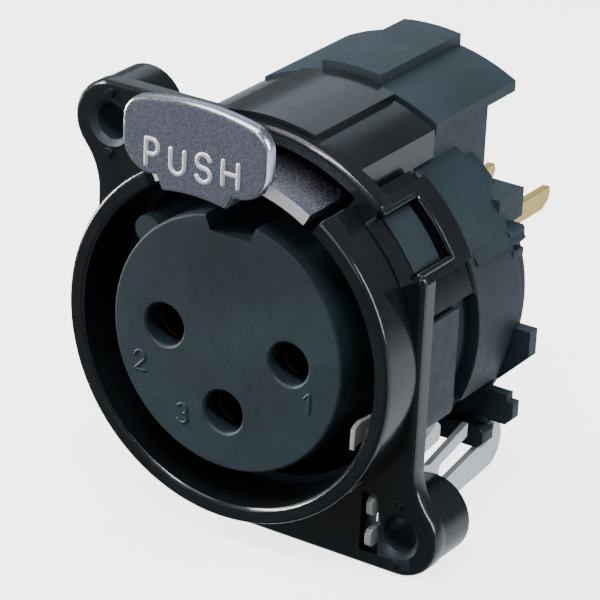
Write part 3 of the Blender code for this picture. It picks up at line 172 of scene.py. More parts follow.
# Soft lights: name, place, width, height, power and tint
LIGHT_AIM = (0.0, 5.0 * MM, 0.0)
LIGHTS = (
    ("top_box", (-0.05, 0.0, 0.28), 0.30, 0.22, 0.6, WHITE),
    ("left_strip", (-0.26, -0.08, 0.06), 0.028, 0.26, 1.3, WHITE),
    ("top_strip", (0.05, -0.12, 0.26), 0.20, 0.02, 0.5, WHITE),
    ("right_strip", (0.24, 0.10, 0.10), 0.03, 0.18, 0.3, (0.90, 0.97, 1.0)),
    ("front_box", (0.02, -0.30, 0.10), 0.20, 0.10, 0.12, WHITE),
    ("back_box", (-0.14, 0.24, 0.15), 0.20, 0.12, 0.05, (0.75, 0.88, 1.0)),
)


class ReceptacleSizes(bpy.types.PropertyGroup):
    """Sizes that can be set, in metres."""

    moulding_round: bpy.props.FloatProperty(
        name="Moulding Edge", description="Rounding of the moulded edges",
        default=0.11 * MM, unit="LENGTH")
    casting_round: bpy.props.FloatProperty(
        name="Casting Edge", description="Rounding of the edges of the latch casting",
        default=0.07 * MM, unit="LENGTH")
    sheet_round: bpy.props.FloatProperty(
        name="Sheet Edge", description="Rounding of stamped sheet and tail edges",
        default=0.06 * MM, unit="LENGTH")
    tab_face: bpy.props.FloatProperty(
        name="Tab Face", description="Place of the push tab's face along the bore",
        default=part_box("latch_lever")[0][1], unit="LENGTH")
    insert_face: bpy.props.FloatProperty(
        name="Insert Face", description="Place of the insert's face along the bore",
        default=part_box("contact_insert")[0][1], unit="LENGTH")
    letter_stroke: bpy.props.FloatProperty(
        name="Letter Stroke", description="Width of the raised strokes on the push tab",
        default=0.27 * MM, unit="LENGTH")
    number_stroke: bpy.props.FloatProperty(
        name="Number Stroke", description="Width of the moulded pin numbers",
        default=0.2 * MM, unit="LENGTH")
    bead_radius: bpy.props.FloatProperty(
        name="Bead Radius", description="Radius of the rounded lip round the snap windows",
        default=0.2 * MM, unit="LENGTH")
    fillet_radius: bpy.props.FloatProperty(
        name="Fillet Radius", description="Radius of the round web between the two feet",
        default=0.34 * MM, unit="LENGTH")
    spring_radius: bpy.props.FloatProperty(
        name="Spring Radius", description="Radius of the latch spring's coil at mid wire",
        default=1.15 * MM, unit="LENGTH")
    spring_wire: bpy.props.FloatProperty(
        name="Spring Wire", description="Radius of the latch spring's wire",
        default=0.18 * MM, unit="LENGTH")


class ReceptacleColours(bpy.types.PropertyGroup):
    """Colours that can be set."""

    housing: bpy.props.FloatVectorProperty(
        name="Housing", description="Glossy black of the front housing", subtype="COLOR",
        default=(0.0065, 0.0085, 0.0100), min=0.0, max=1.0)
    body: bpy.props.FloatVectorProperty(
        name="Rear Body", description="Slate grey of the rear body", subtype="COLOR",
        default=(0.018, 0.031, 0.041), min=0.0, max=1.0)
    insert: bpy.props.FloatVectorProperty(
        name="Insert", description="Dark slate of the contact insert", subtype="COLOR",
        default=(0.014, 0.029, 0.036), min=0.0, max=1.0)
    nickel: bpy.props.FloatVectorProperty(
        name="Nickel", description="Plating of the latch", subtype="COLOR",
        default=(0.80, 0.80, 0.98), min=0.0, max=1.0)
    gold: bpy.props.FloatVectorProperty(
        name="Gold", description="Plating of the contact tails", subtype="COLOR",
        default=(1.0, 0.72, 0.27), min=0.0, max=1.0)
    tin: bpy.props.FloatVectorProperty(
        name="Tin", description="Tinned sheet of the earth contact", subtype="COLOR",
        default=(0.95, 0.96, 0.98), min=0.0, max=1.0)


def sizes():
    """Sizes as they are set in the scene."""
    return bpy.context.scene.receptacle_sizes


def colours():
    """Colours as they are set in the scene."""
    return bpy.context.scene.receptacle_colours


# Sockets that both skins have
SKIN_INPUTS = (
    ("Place", "NodeSocketVector", (0.0, 0.0, 0.0)),
    ("Colour", "NodeSocketColor", (0.02, 0.02, 0.02, 1.0)),
    ("Second Colour", "NodeSocketColor", (0.04, 0.05, 0.05, 1.0)),
    ("Low Roughness", "NodeSocketFloat", 0.25),
    ("High Roughness", "NodeSocketFloat", 0.4),
)
SKIN_OUTPUTS = (
    ("Colour", "NodeSocketColor"),
    ("Roughness", "NodeSocketFloat"),
    ("Height", "NodeSocketFloat"),
)

# Places of a Mix node's sockets when it mixes colours
MIX_FIRST = 6
MIX_SECOND = 7
MIX_RESULT = 2


def new_skin(name):
    """Shader node group with the skin's named sockets, and its entry and exit nodes."""
    group = bpy.data.node_groups.new(name, "ShaderNodeTree")
    for label, kind, value in SKIN_INPUTS:
        socket = group.interface.new_socket(label, in_out="INPUT", socket_type=kind)
        socket.default_value = value
    for label, kind in SKIN_OUTPUTS:
        group.interface.new_socket(label, in_out="OUTPUT", socket_type=kind)
    entry = group.nodes.new("NodeGroupInput")
    leave = group.nodes.new("NodeGroupOutput")
    return group, entry, leave


def feed(tree, socket, value):
    """Link the socket to another one, or set its own value."""
    if isinstance(value, bpy.types.NodeSocket):
        tree.links.new(value, socket)
    else:
        socket.default_value = value


def noise(tree, place, scale, detail, rough=0.55):
    """Noise from 0 to 1 over a place. The scale is in waves per metre."""
    node = tree.nodes.new("ShaderNodeTexNoise")
    node.inputs["Scale"].default_value = scale
    node.inputs["Detail"].default_value = detail
    node.inputs["Roughness"].default_value = rough
    tree.links.new(place, node.inputs["Vector"])
    return node.outputs["Fac"]


def spread(tree, value, low, high, out_low, out_high):
    """Value between low and high brought to the range between the other two, and held inside it."""
    node = tree.nodes.new("ShaderNodeMapRange")
    node.inputs["From Min"].default_value = low
    node.inputs["From Max"].default_value = high
    feed(tree, node.inputs["To Min"], out_low)
    feed(tree, node.inputs["To Max"], out_high)
    tree.links.new(value, node.inputs["Value"])
    return node.outputs["Result"]


def blended(tree, share, first, second):
    """Colour between two colours, by a share from 0 to 1."""
    node = tree.nodes.new("ShaderNodeMix")
    node.data_type = "RGBA"
    tree.links.new(share, node.inputs["Factor"])
    feed(tree, node.inputs[MIX_FIRST], first)
    feed(tree, node.inputs[MIX_SECOND], second)
    return node.outputs[MIX_RESULT]


def grain_group():
    """Moulding grain: fine height, slow gloss change and slow colour change from three noises."""
    found = bpy.data.node_groups.get("moulding_grain")
    if found:
        return found
    group, entry, leave = new_skin("moulding_grain")
    place = entry.outputs["Place"]
    slow = noise(group, place, scale=240.0, detail=4.0)
    middle = noise(group, place, scale=1500.0, detail=3.0)
    fine = noise(group, place, scale=7200.0, detail=2.0)
    share = spread(group, slow, 0.35, 0.68, 0.0, 1.0)
    tone = blended(group, share, entry.outputs["Colour"], entry.outputs["Second Colour"])
    gloss = spread(group, middle, 0.3, 0.7, entry.outputs["Low Roughness"], entry.outputs["High Roughness"])
    group.links.new(tone, leave.inputs["Colour"])
    group.links.new(gloss, leave.inputs["Roughness"])
    group.links.new(fine, leave.inputs["Height"])
    return group


def cast_group():
    """Cast and plated skin: specks of dark and light, pitted height. The second colour is the pits'."""
    found = bpy.data.node_groups.get("plated_casting")
    if found:
        return found
    group, entry, leave = new_skin("plated_casting")
    place = entry.outputs["Place"]
    coarse = noise(group, place, scale=7000.0, detail=4.0, rough=0.7)
    fine = noise(group, place, scale=12000.0, detail=3.0, rough=0.6)
    share = spread(group, coarse, 0.3, 0.6, 0.0, 1.0)
    tone = blended(group, share, entry.outputs["Second Colour"], entry.outputs["Colour"])
    gloss = spread(group, fine, 0.35, 0.65, entry.outputs["High Roughness"], entry.outputs["Low Roughness"])
    group.links.new(tone, leave.inputs["Colour"])
    group.links.new(gloss, leave.inputs["Roughness"])
    group.links.new(coarse, leave.inputs["Height"])
    return group


def finish_of(name, group, colour, second, low, high, bump, metallic=0.0, coat=0.0):
    """Material whose colour, gloss and bump come from one of the shared groups."""
    found = bpy.data.materials.get(name)
    if found:
        return found
    surface = bpy.data.materials.new(name)
    surface.use_nodes = True
    tree = surface.node_tree
    shader = tree.nodes["Principled BSDF"]
    place = tree.nodes.new("ShaderNodeTexCoord")
    skin = tree.nodes.new("ShaderNodeGroup")
    skin.node_tree = group
    tree.links.new(place.outputs["Object"], skin.inputs["Place"])
    skin.inputs["Colour"].default_value = (*colour, 1.0)
    skin.inputs["Second Colour"].default_value = (*second, 1.0)
    skin.inputs["Low Roughness"].default_value = low
    skin.inputs["High Roughness"].default_value = high
    relief = tree.nodes.new("ShaderNodeBump")
    relief.inputs["Strength"].default_value = bump
    relief.inputs["Distance"].default_value = BUMP_DISTANCE
    tree.links.new(skin.outputs["Height"], relief.inputs["Height"])
    tree.links.new(skin.outputs["Colour"], shader.inputs["Base Color"])
    tree.links.new(skin.outputs["Roughness"], shader.inputs["Roughness"])
    tree.links.new(relief.outputs["Normal"], shader.inputs["Normal"])
    shader.inputs["Metallic"].default_value = metallic
    shader.inputs["Coat Weight"].default_value = coat
    shader.inputs["Coat Roughness"].default_value = 0.12
    return surface


def lighter(colour, factor):
    """Colour times a factor, each part held to 1."""
    return tuple(min(1.0, part * factor) for part in colour)


def housing_finish():
    """Glossy black moulding with a clear gloss over it."""
    tone = colours().housing
    return finish_of("gloss_moulding", grain_group(), tone, lighter(tone, 1.6),
                     low=0.16, high=0.27, bump=0.05, coat=0.5)


def body_finish():
    """Matt slate moulding."""
    tone = colours().body
    return finish_of("matt_slate_moulding", grain_group(), tone, lighter(tone, 1.35),
                     low=0.42, high=0.56, bump=0.16)


def insert_finish():
    """Matt dark moulding of the contact insert."""
    tone = colours().insert
    return finish_of("insert_moulding", grain_group(), tone, lighter(tone, 1.5),
                     low=0.5, high=0.64, bump=0.2)


def number_finish():
    """The insert's moulding, a little lighter and smoother, for its raised numbers."""
    tone = lighter(colours().insert, 1.4)
    return finish_of("moulded_number", grain_group(), tone, lighter(tone, 1.3),
                     low=0.4, high=0.5, bump=0.1)


def nickel_finish():
    """Nickel over a rough casting."""
    tone = colours().nickel
    return finish_of("nickel_casting", cast_group(), tone, lighter(tone, 0.6),
                     low=0.18, high=0.34, bump=0.12, metallic=1.0)


def highlight_nickel_finish():
    """Nickel painted near white and made partly diffuse for the letters and the plate's front: a painted
    highlight.
    """
    tone = lighter(colours().nickel, 1.25)
    return finish_of("nickel_painted_highlight", cast_group(), tone, lighter(tone, 0.93),
                     low=0.32, high=0.44, bump=0.05, metallic=0.35)


def edge_highlight_finish():
    """Nickel painted white and made glossier along the tab's border: a painted highlight on its rounded
    edge.
    """
    tone = lighter(colours().nickel, 1.25)
    return finish_of("nickel_edge_highlight", cast_group(), tone, lighter(tone, 0.8),
                     low=0.12, high=0.26, bump=0.05, metallic=0.92)


def gold_finish():
    """Gold plating of the tails."""
    tone = colours().gold
    return finish_of("gold_plating", grain_group(), tone, lighter(tone, 0.92),
                     low=0.36, high=0.46, bump=0.06, metallic=1.0)


def socket_shade_finish():
    """Gold made rougher and painted almost black deep in the contact holes: painted shade of their depths.
    """
    tone = lighter(colours().gold, 0.07)
    return finish_of("socket_painted_shade", grain_group(), tone, lighter(tone, 0.8),
                     low=0.5, high=0.6, bump=0.06, metallic=1.0)


def tin_finish():
    """Tinned sheet of the earth contact."""
    tone = colours().tin
    return finish_of("tinned_sheet", grain_group(), tone, lighter(tone, 0.92),
                     low=0.4, high=0.5, bump=0.06, metallic=0.6)


def steel_finish():
    """Drawn spring wire."""
    return finish_of("spring_wire", grain_group(), WIRE_COLOUR, lighter(WIRE_COLOUR, 0.8),
                     low=0.22, high=0.36, bump=0.05, metallic=1.0)


def link(piece):
    """Put an object into the scene."""
    bpy.context.scene.collection.objects.link(piece)
    return piece


def smooth(mesh, angle):
    """Smooth shading, with edges sharper than the angle kept."""
    mesh.shade_smooth()
    mesh.set_sharp_from_angle(angle=angle)


def body_of(node):
    """Body that the record puts a node on."""
    groups = frame["record"]["behaviour"]["bodies"]
    return next(body for body, nodes in groups.items() if node in nodes)


def rounded_copy(node, name, width):
    """Copy of a CAD node: doubles merged, flats made whole, edges rounded, then made a mesh."""
    mesh = frame["nodes"][node].data.copy()
    shape = bmesh.new()
    shape.from_mesh(mesh)
    bmesh.ops.remove_doubles(shape, verts=shape.verts, dist=MERGE_DISTANCE)
    bmesh.ops.dissolve_limit(shape, angle_limit=FLAT_ANGLE, verts=shape.verts, edges=shape.edges)
    shape.to_mesh(mesh)
    shape.free()
    piece = link(bpy.data.objects.new(name, mesh))
    edge = piece.modifiers.new("edges", "BEVEL")
    edge.limit_method = "ANGLE"
    edge.angle_limit = BEVEL_ANGLE
    edge.width = width
    edge.segments = BEVEL_SEGMENTS
    edge.use_clamp_overlap = True
    edge.miter_outer = "MITER_ARC"
    bpy.context.view_layer.update()
    graph = bpy.context.evaluated_depsgraph_get()
    rounded = bpy.data.meshes.new_from_object(piece.evaluated_get(graph))
    piece.modifiers.clear()
    piece.data = rounded
    rounded.name = name
    smooth(rounded, SOLID_SHARP_ANGLE)
    shading = piece.modifiers.new("shading", "WEIGHTED_NORMAL")
    shading.keep_sharp = True
    return piece


def dress(node, name, width, surface, body):
    """Rounded copy that stands for a CAD node."""
    piece = rounded_copy(node, name, width)
    piece.data.materials.clear()
    piece.data.materials.append(surface)
    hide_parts(node)
    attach(piece, body)
    return piece


def second_finish(piece, surface, choose):
    """Other finish for the faces that choose picks from all face centres and normals."""
    mesh = piece.data
    count = len(mesh.polygons)
    centres = np.empty(count * 3)
    normals = np.empty(count * 3)
    index = np.zeros(count, np.int32)
    mesh.polygons.foreach_get("center", centres)
    mesh.polygons.foreach_get("normal", normals)
    mesh.polygons.foreach_get("material_index", index)
    chosen = choose(centres.reshape(-1, 3), normals.reshape(-1, 3))
    mesh.materials.append(surface)
    index[chosen] = len(mesh.materials) - 1
    mesh.polygons.foreach_set("material_index", index)


def in_screw_holes(centres, normals):
    """Faces in and round the screw hole of either ear."""
    upper = np.hypot(centres[:, 0] + EAR_X, centres[:, 2] - EAR_Z) < SCREW_RADIUS
    lower = np.hypot(centres[:, 0] - EAR_X, centres[:, 2] + EAR_Z) < SCREW_RADIUS
    return upper | lower


def in_sockets(centres, normals):
    """Faces of a contact in front of its tail, down in the contact hole, where the gold gets its painted
    shade.
    """
    return centres[:, 1] < TAIL_START


def on_tab_border(centres, normals):
    """Rounded border of the push tab, whose faces lean forward but do not look straight ahead; it gets a
    painted highlight.
    """
    ahead = -normals[:, 1]
    return (centres[:, 1] < TAB_BACK) & (ahead > BORDER_LEAN_LOW) & (ahead < BORDER_LEAN_HIGH)


def on_plate_front(centres, normals):
    """Front edge of the latch's curved plate, which gets a painted highlight."""
    y, z = centres[:, 1], centres[:, 2]
    return (y > TAB_BACK) & (y < PLATE_LIP) & (z < PLATE_TOP) & (normals[:, 1] < -PLATE_LEAN)


def tube(path, radius, sides, flatten=1.0):
    """Points of a tube. Each point of the path carries a circle of that radius across the path's
    direction, flattened along Y. Half spheres close the ends: a ring that stands a share s of the
    radius past the end is the root of 1 - s squared times as wide as the tube."""
    ahead = np.gradient(path, axis=0)
    first = ahead[0] / np.linalg.norm(ahead[0])
    last = ahead[-1] / np.linalg.norm(ahead[-1])
    head = path[0] - radius * CAP_STEPS[:, None] * first
    tail = path[-1] + radius * CAP_STEPS[::-1, None] * last
    rings = len(CAP_STEPS)
    ahead = np.concatenate([np.repeat(first[None], rings, 0), ahead, np.repeat(last[None], rings, 0)])
    widths = np.concatenate([CAP_WIDTHS, np.ones(len(path)), CAP_WIDTHS[::-1]])
    path = np.concatenate([head, path, tail])
    ahead /= np.linalg.norm(ahead, axis=1)[:, None]
    up = np.broadcast_to(np.array([0.0, 1.0, 0.0]), ahead.shape)
    side = np.cross(ahead, up)
    along_up = np.linalg.norm(side, axis=1) < 1e-6
    side[along_up] = np.array([1.0, 0.0, 0.0])
    side /= np.linalg.norm(side, axis=1)[:, None]
    lift = np.cross(side, ahead)
    turn = np.linspace(0.0, TAU, sides, endpoint=False)
    ring = np.cos(turn)[None, :, None] * side[:, None, :]
    ring = ring + flatten * np.sin(turn)[None, :, None] * lift[:, None, :]
    return path[:, None, :] + radius * widths[:, None, None] * ring


def grid_mesh(name, grid, surface, caps=True):
    """Object over a grid of points. Each row closes on itself, each face joins two neighbours of one
    row with the two below them, and caps close the first and the last row."""
    rows, columns = grid.shape[:2]
    index = np.arange(rows * columns).reshape(rows, columns)
    beside = np.roll(index, -1, 1)
    polygons = np.stack([index[:-1], beside[:-1], beside[1:], index[1:]], -1).reshape(-1, 4).tolist()
    if caps:
        polygons += [index[0][::-1].tolist(), index[-1].tolist()]
    mesh = bpy.data.meshes.new(name)
    mesh.from_pydata(grid.reshape(-1, 3), [], polygons)
    shape = bmesh.new()
    shape.from_mesh(mesh)
    bmesh.ops.recalc_face_normals(shape, faces=shape.faces)
    shape.to_mesh(mesh)
    shape.free()
    mesh.materials.append(surface)
    smooth(mesh, SURFACE_SHARP_ANGLE)
    return link(bpy.data.objects.new(name, mesh))


def merged(name, pieces):
    """One object from several, keeping the first one's surface."""
    shape = bmesh.new()
    for piece in pieces:
        shape.from_mesh(piece.data)
    mesh = pieces[0].data.copy()
    mesh.name = name
    shape.to_mesh(mesh)
    shape.free()
    for piece in pieces:
        bpy.data.objects.remove(piece)
    return link(bpy.data.objects.new(name, mesh))


def bow(cx, cz, rx, rz, start, end, count=14):
    """Part of an ellipse round (cx, cz): the point at angle a is (cx + rx cos a, cz + rz sin a), with
    a in degrees from +X towards +Z."""
    turn = np.radians(np.linspace(start, end, count))
    return np.stack([cx + rx * np.cos(turn), cz + rz * np.sin(turn)], -1)


def line(*points, count=7):
    """Straight runs from point to point, each filled with evenly spaced points."""
    points = np.asarray(points, float)
    share = np.linspace(0.0, 1.0, count)[:, None]
    runs = [start + (end - start) * share for start, end in zip(points[:-1], points[1:])]
    return np.concatenate([runs[0]] + [run[1:] for run in runs[1:]])


# Strokes of each sign in a box one wide and one high
STROKES = {
    "P": [
        line((0.0, 0.0), (0.0, 1.0)),
        np.concatenate([line((0.0, 1.0), (0.55, 1.0)), bow(0.55, 0.72, 0.42, 0.28, 90.0, -90.0),
                        line((0.5, 0.44), (0.0, 0.44))]),
    ],
    "U": [
        np.concatenate([line((0.0, 1.0), (0.0, 0.36)), bow(0.5, 0.36, 0.5, 0.36, 180.0, 360.0)[1:],
                        line((1.0, 0.42), (1.0, 1.0))]),
    ],
    "S": [
        np.concatenate([bow(0.5, 0.74, 0.46, 0.26, 20.0, 235.0),
                        bow(0.5, 0.26, 0.48, 0.26, 60.0, -160.0)]),
    ],
    "H": [
        line((0.0, 0.0), (0.0, 1.0)),
        line((1.0, 0.0), (1.0, 1.0)),
        line((0.0, 0.5), (1.0, 0.5)),
    ],
    "1": [
        line((0.1, 0.72), (0.5, 1.0), (0.5, 0.0)),
    ],
    "2": [
        np.concatenate([bow(0.5, 0.7, 0.45, 0.3, 165.0, -30.0),
                        line((0.78, 0.48), (0.05, 0.0), (0.95, 0.0))]),
    ],
    "3": [
        np.concatenate([bow(0.48, 0.74, 0.4, 0.26, 150.0, -80.0),
                        bow(0.48, 0.26, 0.45, 0.26, 80.0, -150.0)]),
    ],
}


def raised_signs(name, signs, stroke, face, surface):
    """One object with several signs as half-sunk tubes on a face that looks to -Y. A stroke's point
    (u, v) in its box lies at the sign's corner plus u widths along X and v heights along Z."""
    tubes = []
    for sign, left, low, width, height in signs:
        for run in STROKES[sign]:
            x = left * MM + run[:, 0] * (width * MM)
            z = low * MM + run[:, 1] * (height * MM)
            path = np.stack([x, np.full(len(run), face), z], -1)
            tubes.append(grid_mesh("stroke", tube(path, stroke / 2, sides=10, flatten=SIGN_RELIEF), surface))
    return merged(name, tubes)


def window_bead(name, middle):
    """Rounded lip round the sides and the back of a snap window. It is a tube whose path goes back
    along the upper side, over the strap's arc at the back, and forward along the lower side. A point
    at angle a from +Z and depth y lies at (r sin a, y, r cos a)."""
    turn = np.radians(np.linspace(middle - WINDOW_HALF, middle + WINDOW_HALF, BEAD_ARC_POINTS))
    if middle < 0.0:
        turn = turn[::-1]
    side = np.linspace(WINDOW_FRONT, WINDOW_REAR, BEAD_SIDE_POINTS)[:-1]
    angles = np.concatenate([np.full(len(side), turn[0]), turn, np.full(len(side), turn[-1])])
    depths = np.concatenate([side, np.full(len(turn), WINDOW_REAR), side[::-1]])
    path = np.stack([STRAP_RADIUS * np.sin(angles), depths, STRAP_RADIUS * np.cos(angles)], -1)
    return grid_mesh(name, tube(path, sizes().bead_radius, sides=12), housing_finish())


def coil_path(low, high, coil, wire):
    """Helix between two corners of a box. At share s of its length the angle is the turns times s,
    the distance from the axis is the coil's, and the height climbs evenly from one wire above the
    bottom to one wire below the top."""
    middle = (low + high) / 2
    share = np.linspace(0.0, 1.0, SPRING_POINTS)
    turn = TAU * SPRING_TURNS * share
    return np.stack([middle.x + coil * np.cos(turn), middle.y + coil * np.sin(turn),
                     low.z + wire + (high.z - low.z - 2 * wire) * share], -1)


class OBJECT_OT_receptacle_housing(bpy.types.Operator):
    """Give the front housing its rounded edges, gloss and window lips"""
    bl_idname = "object.receptacle_housing"
    bl_label = "Front Housing"

    def execute(self, context):
        body = body_of("front_housing")
        piece = dress("front_housing", "housing_moulding", sizes().moulding_round, housing_finish(), body)
        second_finish(piece, body_finish(), in_screw_holes)
        for name, middle in (("window_bead_right", WINDOW_MIDDLE), ("window_bead_left", -WINDOW_MIDDLE)):
            bead = window_bead(name, middle)
            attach(bead, body)
        return {"FINISHED"}


class OBJECT_OT_receptacle_rear(bpy.types.Operator):
    """Give the rear body its rounded edges, matt grain and the web between its feet"""
    bl_idname = "object.receptacle_rear"
    bl_label = "Rear Body"

    def execute(self, context):
        body = body_of("rear_body")
        dress("rear_body", "body_moulding", sizes().moulding_round * BODY_ROUND_SHARE, body_finish(), body)
        path = line((WEB_LEFT_X, WEB_Y, WEB_Z), (WEB_RIGHT_X, WEB_Y, WEB_Z), count=9)
        fillet = grid_mesh("foot_fillet", tube(path, sizes().fillet_radius, sides=14), body_finish())
        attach(fillet, body)
        return {"FINISHED"}


class OBJECT_OT_receptacle_insert(bpy.types.Operator):
    """Give the contact insert its grain and its raised pin numbers"""
    bl_idname = "object.receptacle_insert"
    bl_label = "Contact Insert"

    def execute(self, context):
        body = body_of("contact_insert")
        dress("contact_insert", "insert_moulding", sizes().moulding_round, insert_finish(), body)
        numbers = raised_signs("pin_numbers", PIN_NUMBERS, sizes().number_stroke, sizes().insert_face,
                               number_finish())
        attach(numbers, body)
        return {"FINISHED"}


class OBJECT_OT_receptacle_contacts(bpy.types.Operator):
    """Give the three contacts and the earth contact their plating, with painted shade on the contacts deep
    in their holes
    """
    bl_idname = "object.receptacle_contacts"
    bl_label = "Contacts"

    def execute(self, context):
        for number in (1, 2, 3):
            node = f"contact_{number}"
            piece = dress(node, f"gold_contact_{number}", sizes().sheet_round, gold_finish(), body_of(node))
            # Deep in the holes the gold is painted dark: painted shade.
            second_finish(piece, socket_shade_finish(), in_sockets)
        dress("earth_contact", "tinned_contact", sizes().sheet_round, tin_finish(), body_of("earth_contact"))
        return {"FINISHED"}


class OBJECT_OT_receptacle_latch(bpy.types.Operator):
    """Give the latch its cast skin, painted highlights on its border and plate front, and raised letters
    with a painted highlight
    """
    bl_idname = "object.receptacle_latch"
    bl_label = "Latch"

    def execute(self, context):
        body = body_of("latch_lever")
        casting = dress("latch_lever", "latch_casting", sizes().casting_round, nickel_finish(), body)
        # The tab's border gets a painted highlight: nickel painted white.
        second_finish(casting, edge_highlight_finish(), on_tab_border)
        # The plate's front and the raised letters get a painted highlight: nickel painted near white.
        second_finish(casting, highlight_nickel_finish(), on_plate_front)
        letters = raised_signs("tab_letters", TAB_LETTERS, sizes().letter_stroke, sizes().tab_face,
                               highlight_nickel_finish())
        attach(letters, body)
        return {"FINISHED"}


class OBJECT_OT_receptacle_spring(bpy.types.Operator):
    """Wind the latch spring with round wire"""
    bl_idname = "object.receptacle_spring"
    bl_label = "Latch Spring"

    def execute(self, context):
        low, high = (Vector(corner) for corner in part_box("latch_spring"))
        wire = sizes().spring_wire
        coil = sizes().spring_radius
        path = coil_path(low, high, coil, wire)
        spring = grid_mesh("coil_spring", tube(path, wire, sides=12), steel_finish())
        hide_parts("latch_spring")
        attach(spring, body_of("latch_spring"))
        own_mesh(spring)
        return {"FINISHED"}


def set_camera():
    """Camera that looks along the view's turn and tilt at its aim, rolled about its own axis."""
    forward = Vector((-math.sin(VIEW_TURN) * math.cos(VIEW_TILT), math.cos(VIEW_TURN) * math.cos(VIEW_TILT),
                      -math.sin(VIEW_TILT)))
    level = Vector((math.cos(VIEW_TURN), math.sin(VIEW_TURN), 0.0))
    upright = level.cross(forward)
    right = math.cos(VIEW_ROLL) * level + math.sin(VIEW_ROLL) * upright
    up = -math.sin(VIEW_ROLL) * level + math.cos(VIEW_ROLL) * upright
    data = bpy.data.cameras.new("camera")
    data.lens = LENS
    data.sensor_width = SENSOR_WIDTH
    data.clip_start = CLIP_START
    data.clip_end = CLIP_END
    camera = link(bpy.data.objects.new("camera", data))
    turn = Matrix((right, up, -forward)).transposed().to_4x4()
    camera.matrix_world = Matrix.Translation(VIEW_AIM - VIEW_DISTANCE * forward) @ turn
    bpy.context.scene.camera = camera


def soft_light(name, place, width, height, power, tint):
    """Rectangular light at a place, turned to the lights' common aim."""
    data = bpy.data.lights.new(name, "AREA")
    data.shape = "RECTANGLE"
    data.size = width
    data.size_y = height
    data.energy = power
    data.color = tint
    light = link(bpy.data.objects.new(name, data))
    away = (Vector(place) - Vector(LIGHT_AIM)).normalized()
    light.matrix_world = Matrix.Translation(place) @ away.to_track_quat("Z", "Y").to_matrix().to_4x4()


def floor_finish():
    """Pale floor with a glow of its own."""
    surface = bpy.data.materials.new("pale_floor")
    surface.use_nodes = True
    shader = surface.node_tree.nodes["Principled BSDF"]
    shader.inputs["Base Color"].default_value = (0.93, 0.93, 0.93, 1.0)
    shader.inputs["Roughness"].default_value = 0.9
    shader.inputs["Specular IOR Level"].default_value = 0.1
    shader.inputs["Emission Color"].default_value = (1.0, 1.0, 1.0, 1.0)
    shader.inputs["Emission Strength"].default_value = 3.0
    return surface


def backdrop():
    """Floor that bends up into a wall all round. The profile of flat, quarter circle and upright is
    turned about Z, and one face closes the small hole in its middle. Only the camera sees it, so its
    white face lights and mirrors nothing."""
    bend = np.linspace(-math.pi / 2, 0.0, BEND_POINTS)[1:]
    reach = np.concatenate([np.linspace(FLOOR_START, FLOOR_REACH, FLAT_POINTS),
                            FLOOR_REACH + FLOOR_BEND * np.cos(bend), [FLOOR_REACH + FLOOR_BEND]])
    rise = np.concatenate([np.zeros(FLAT_POINTS), FLOOR_BEND * (1.0 + np.sin(bend)),
                           [FLOOR_BEND + FLOOR_WALL]])
    turn = np.linspace(0.0, TAU, FLOOR_SIDES, endpoint=False)
    grid = np.stack([reach[:, None] * np.cos(turn), reach[:, None] * np.sin(turn),
                     np.repeat(FLOOR_Z + rise[:, None], FLOOR_SIDES, 1)], -1)
    floor = grid_mesh("floor", grid, floor_finish(), caps=False)
    shape = bmesh.new()
    shape.from_mesh(floor.data)
    inner = [edge for edge in shape.edges
             if edge.is_boundary and edge.verts[0].co.length < FLOOR_MIDDLE_LIMIT]
    bmesh.ops.contextual_create(shape, geom=inner)
    bmesh.ops.recalc_face_normals(shape, faces=shape.faces)
    shape.to_mesh(floor.data)
    shape.free()
    floor.visible_glossy = False
    floor.visible_diffuse = False
    floor.visible_shadow = False
    return floor


def studio_light(tree):
    """Dim light from all sides, brighter from low behind on the right, as off a white table."""
    place = tree.nodes.new("ShaderNodeTexCoord")
    along = tree.nodes.new("ShaderNodeVectorMath")
    along.operation = "DOT_PRODUCT"
    along.inputs[1].default_value = TABLE_GLOW_WAY
    tree.links.new(place.outputs["Generated"], along.inputs[0])
    parts = tree.nodes.new("ShaderNodeSeparateXYZ")
    tree.links.new(place.outputs["Generated"], parts.inputs["Vector"])
    behind = spread(tree, along.outputs["Value"], 0.0, TABLE_GLOW_FULL, 0.0, TABLE_GLOW)
    table = spread(tree, behind, 0.0, 1.0, DIM_LIGHT, 1.0)
    glow = spread(tree, parts.outputs["Z"], TABLE_EDGE, TABLE_FULL, DIM_LIGHT, table)
    back = tree.nodes["Background"]
    back.inputs["Color"].default_value = ROOM_TINT
    tree.links.new(glow, back.inputs["Strength"])


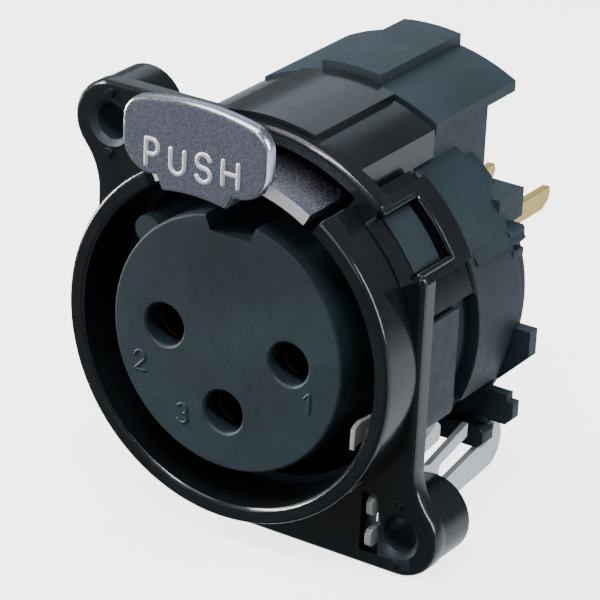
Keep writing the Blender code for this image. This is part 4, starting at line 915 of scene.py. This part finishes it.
class OBJECT_OT_receptacle_stage(bpy.types.Operator):
    """Lay the pale floor, hang the soft lights and set the camera"""
    bl_idname = "object.receptacle_stage"
    bl_label = "Stage"

    def execute(self, context):
        floor = backdrop()
        world = bpy.context.scene.world or bpy.data.worlds.new("studio")
        bpy.context.scene.world = world
        world.use_nodes = True
        studio_light(world.node_tree)
        for light in LIGHTS:
            soft_light(*light)
        set_camera()
        return {"FINISHED"}


class VIEW3D_PT_receptacle(bpy.types.Panel):
    """Lists the receptacle's operators, sizes and colours"""
    bl_idname = "VIEW3D_PT_receptacle"
    bl_label = "Receptacle"
    bl_space_type = "VIEW_3D"
    bl_region_type = "UI"
    bl_category = "Receptacle"

    def draw(self, context):
        for step in OPERATORS:
            self.layout.operator(step.bl_idname)
        for label in ReceptacleSizes.__annotations__:
            self.layout.prop(context.scene.receptacle_sizes, label)
        for label in ReceptacleColours.__annotations__:
            self.layout.prop(context.scene.receptacle_colours, label)


OPERATORS = (
    OBJECT_OT_receptacle_housing,
    OBJECT_OT_receptacle_rear,
    OBJECT_OT_receptacle_insert,
    OBJECT_OT_receptacle_contacts,
    OBJECT_OT_receptacle_latch,
    OBJECT_OT_receptacle_spring,
    OBJECT_OT_receptacle_stage,
)
CLASSES = (ReceptacleSizes, ReceptacleColours, *OPERATORS, VIEW3D_PT_receptacle)


def register():
    """Register the classes and give the scene its sizes and colours."""
    for item in CLASSES:
        bpy.utils.register_class(item)
    bpy.types.Scene.receptacle_sizes = bpy.props.PointerProperty(type=ReceptacleSizes)
    bpy.types.Scene.receptacle_colours = bpy.props.PointerProperty(type=ReceptacleColours)


def unregister():
    """Take the scene's sizes and colours and the classes away again."""
    del bpy.types.Scene.receptacle_colours
    del bpy.types.Scene.receptacle_sizes
    for item in reversed(CLASSES):
        bpy.utils.unregister_class(item)


def main():
    """Dress the frame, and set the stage."""
    register()
    bpy.ops.object.receptacle_housing()
    bpy.ops.object.receptacle_rear()
    bpy.ops.object.receptacle_insert()
    bpy.ops.object.receptacle_contacts()
    bpy.ops.object.receptacle_latch()
    bpy.ops.object.receptacle_spring()
    bpy.ops.object.receptacle_stage()


if __name__ == "__main__":
    main()
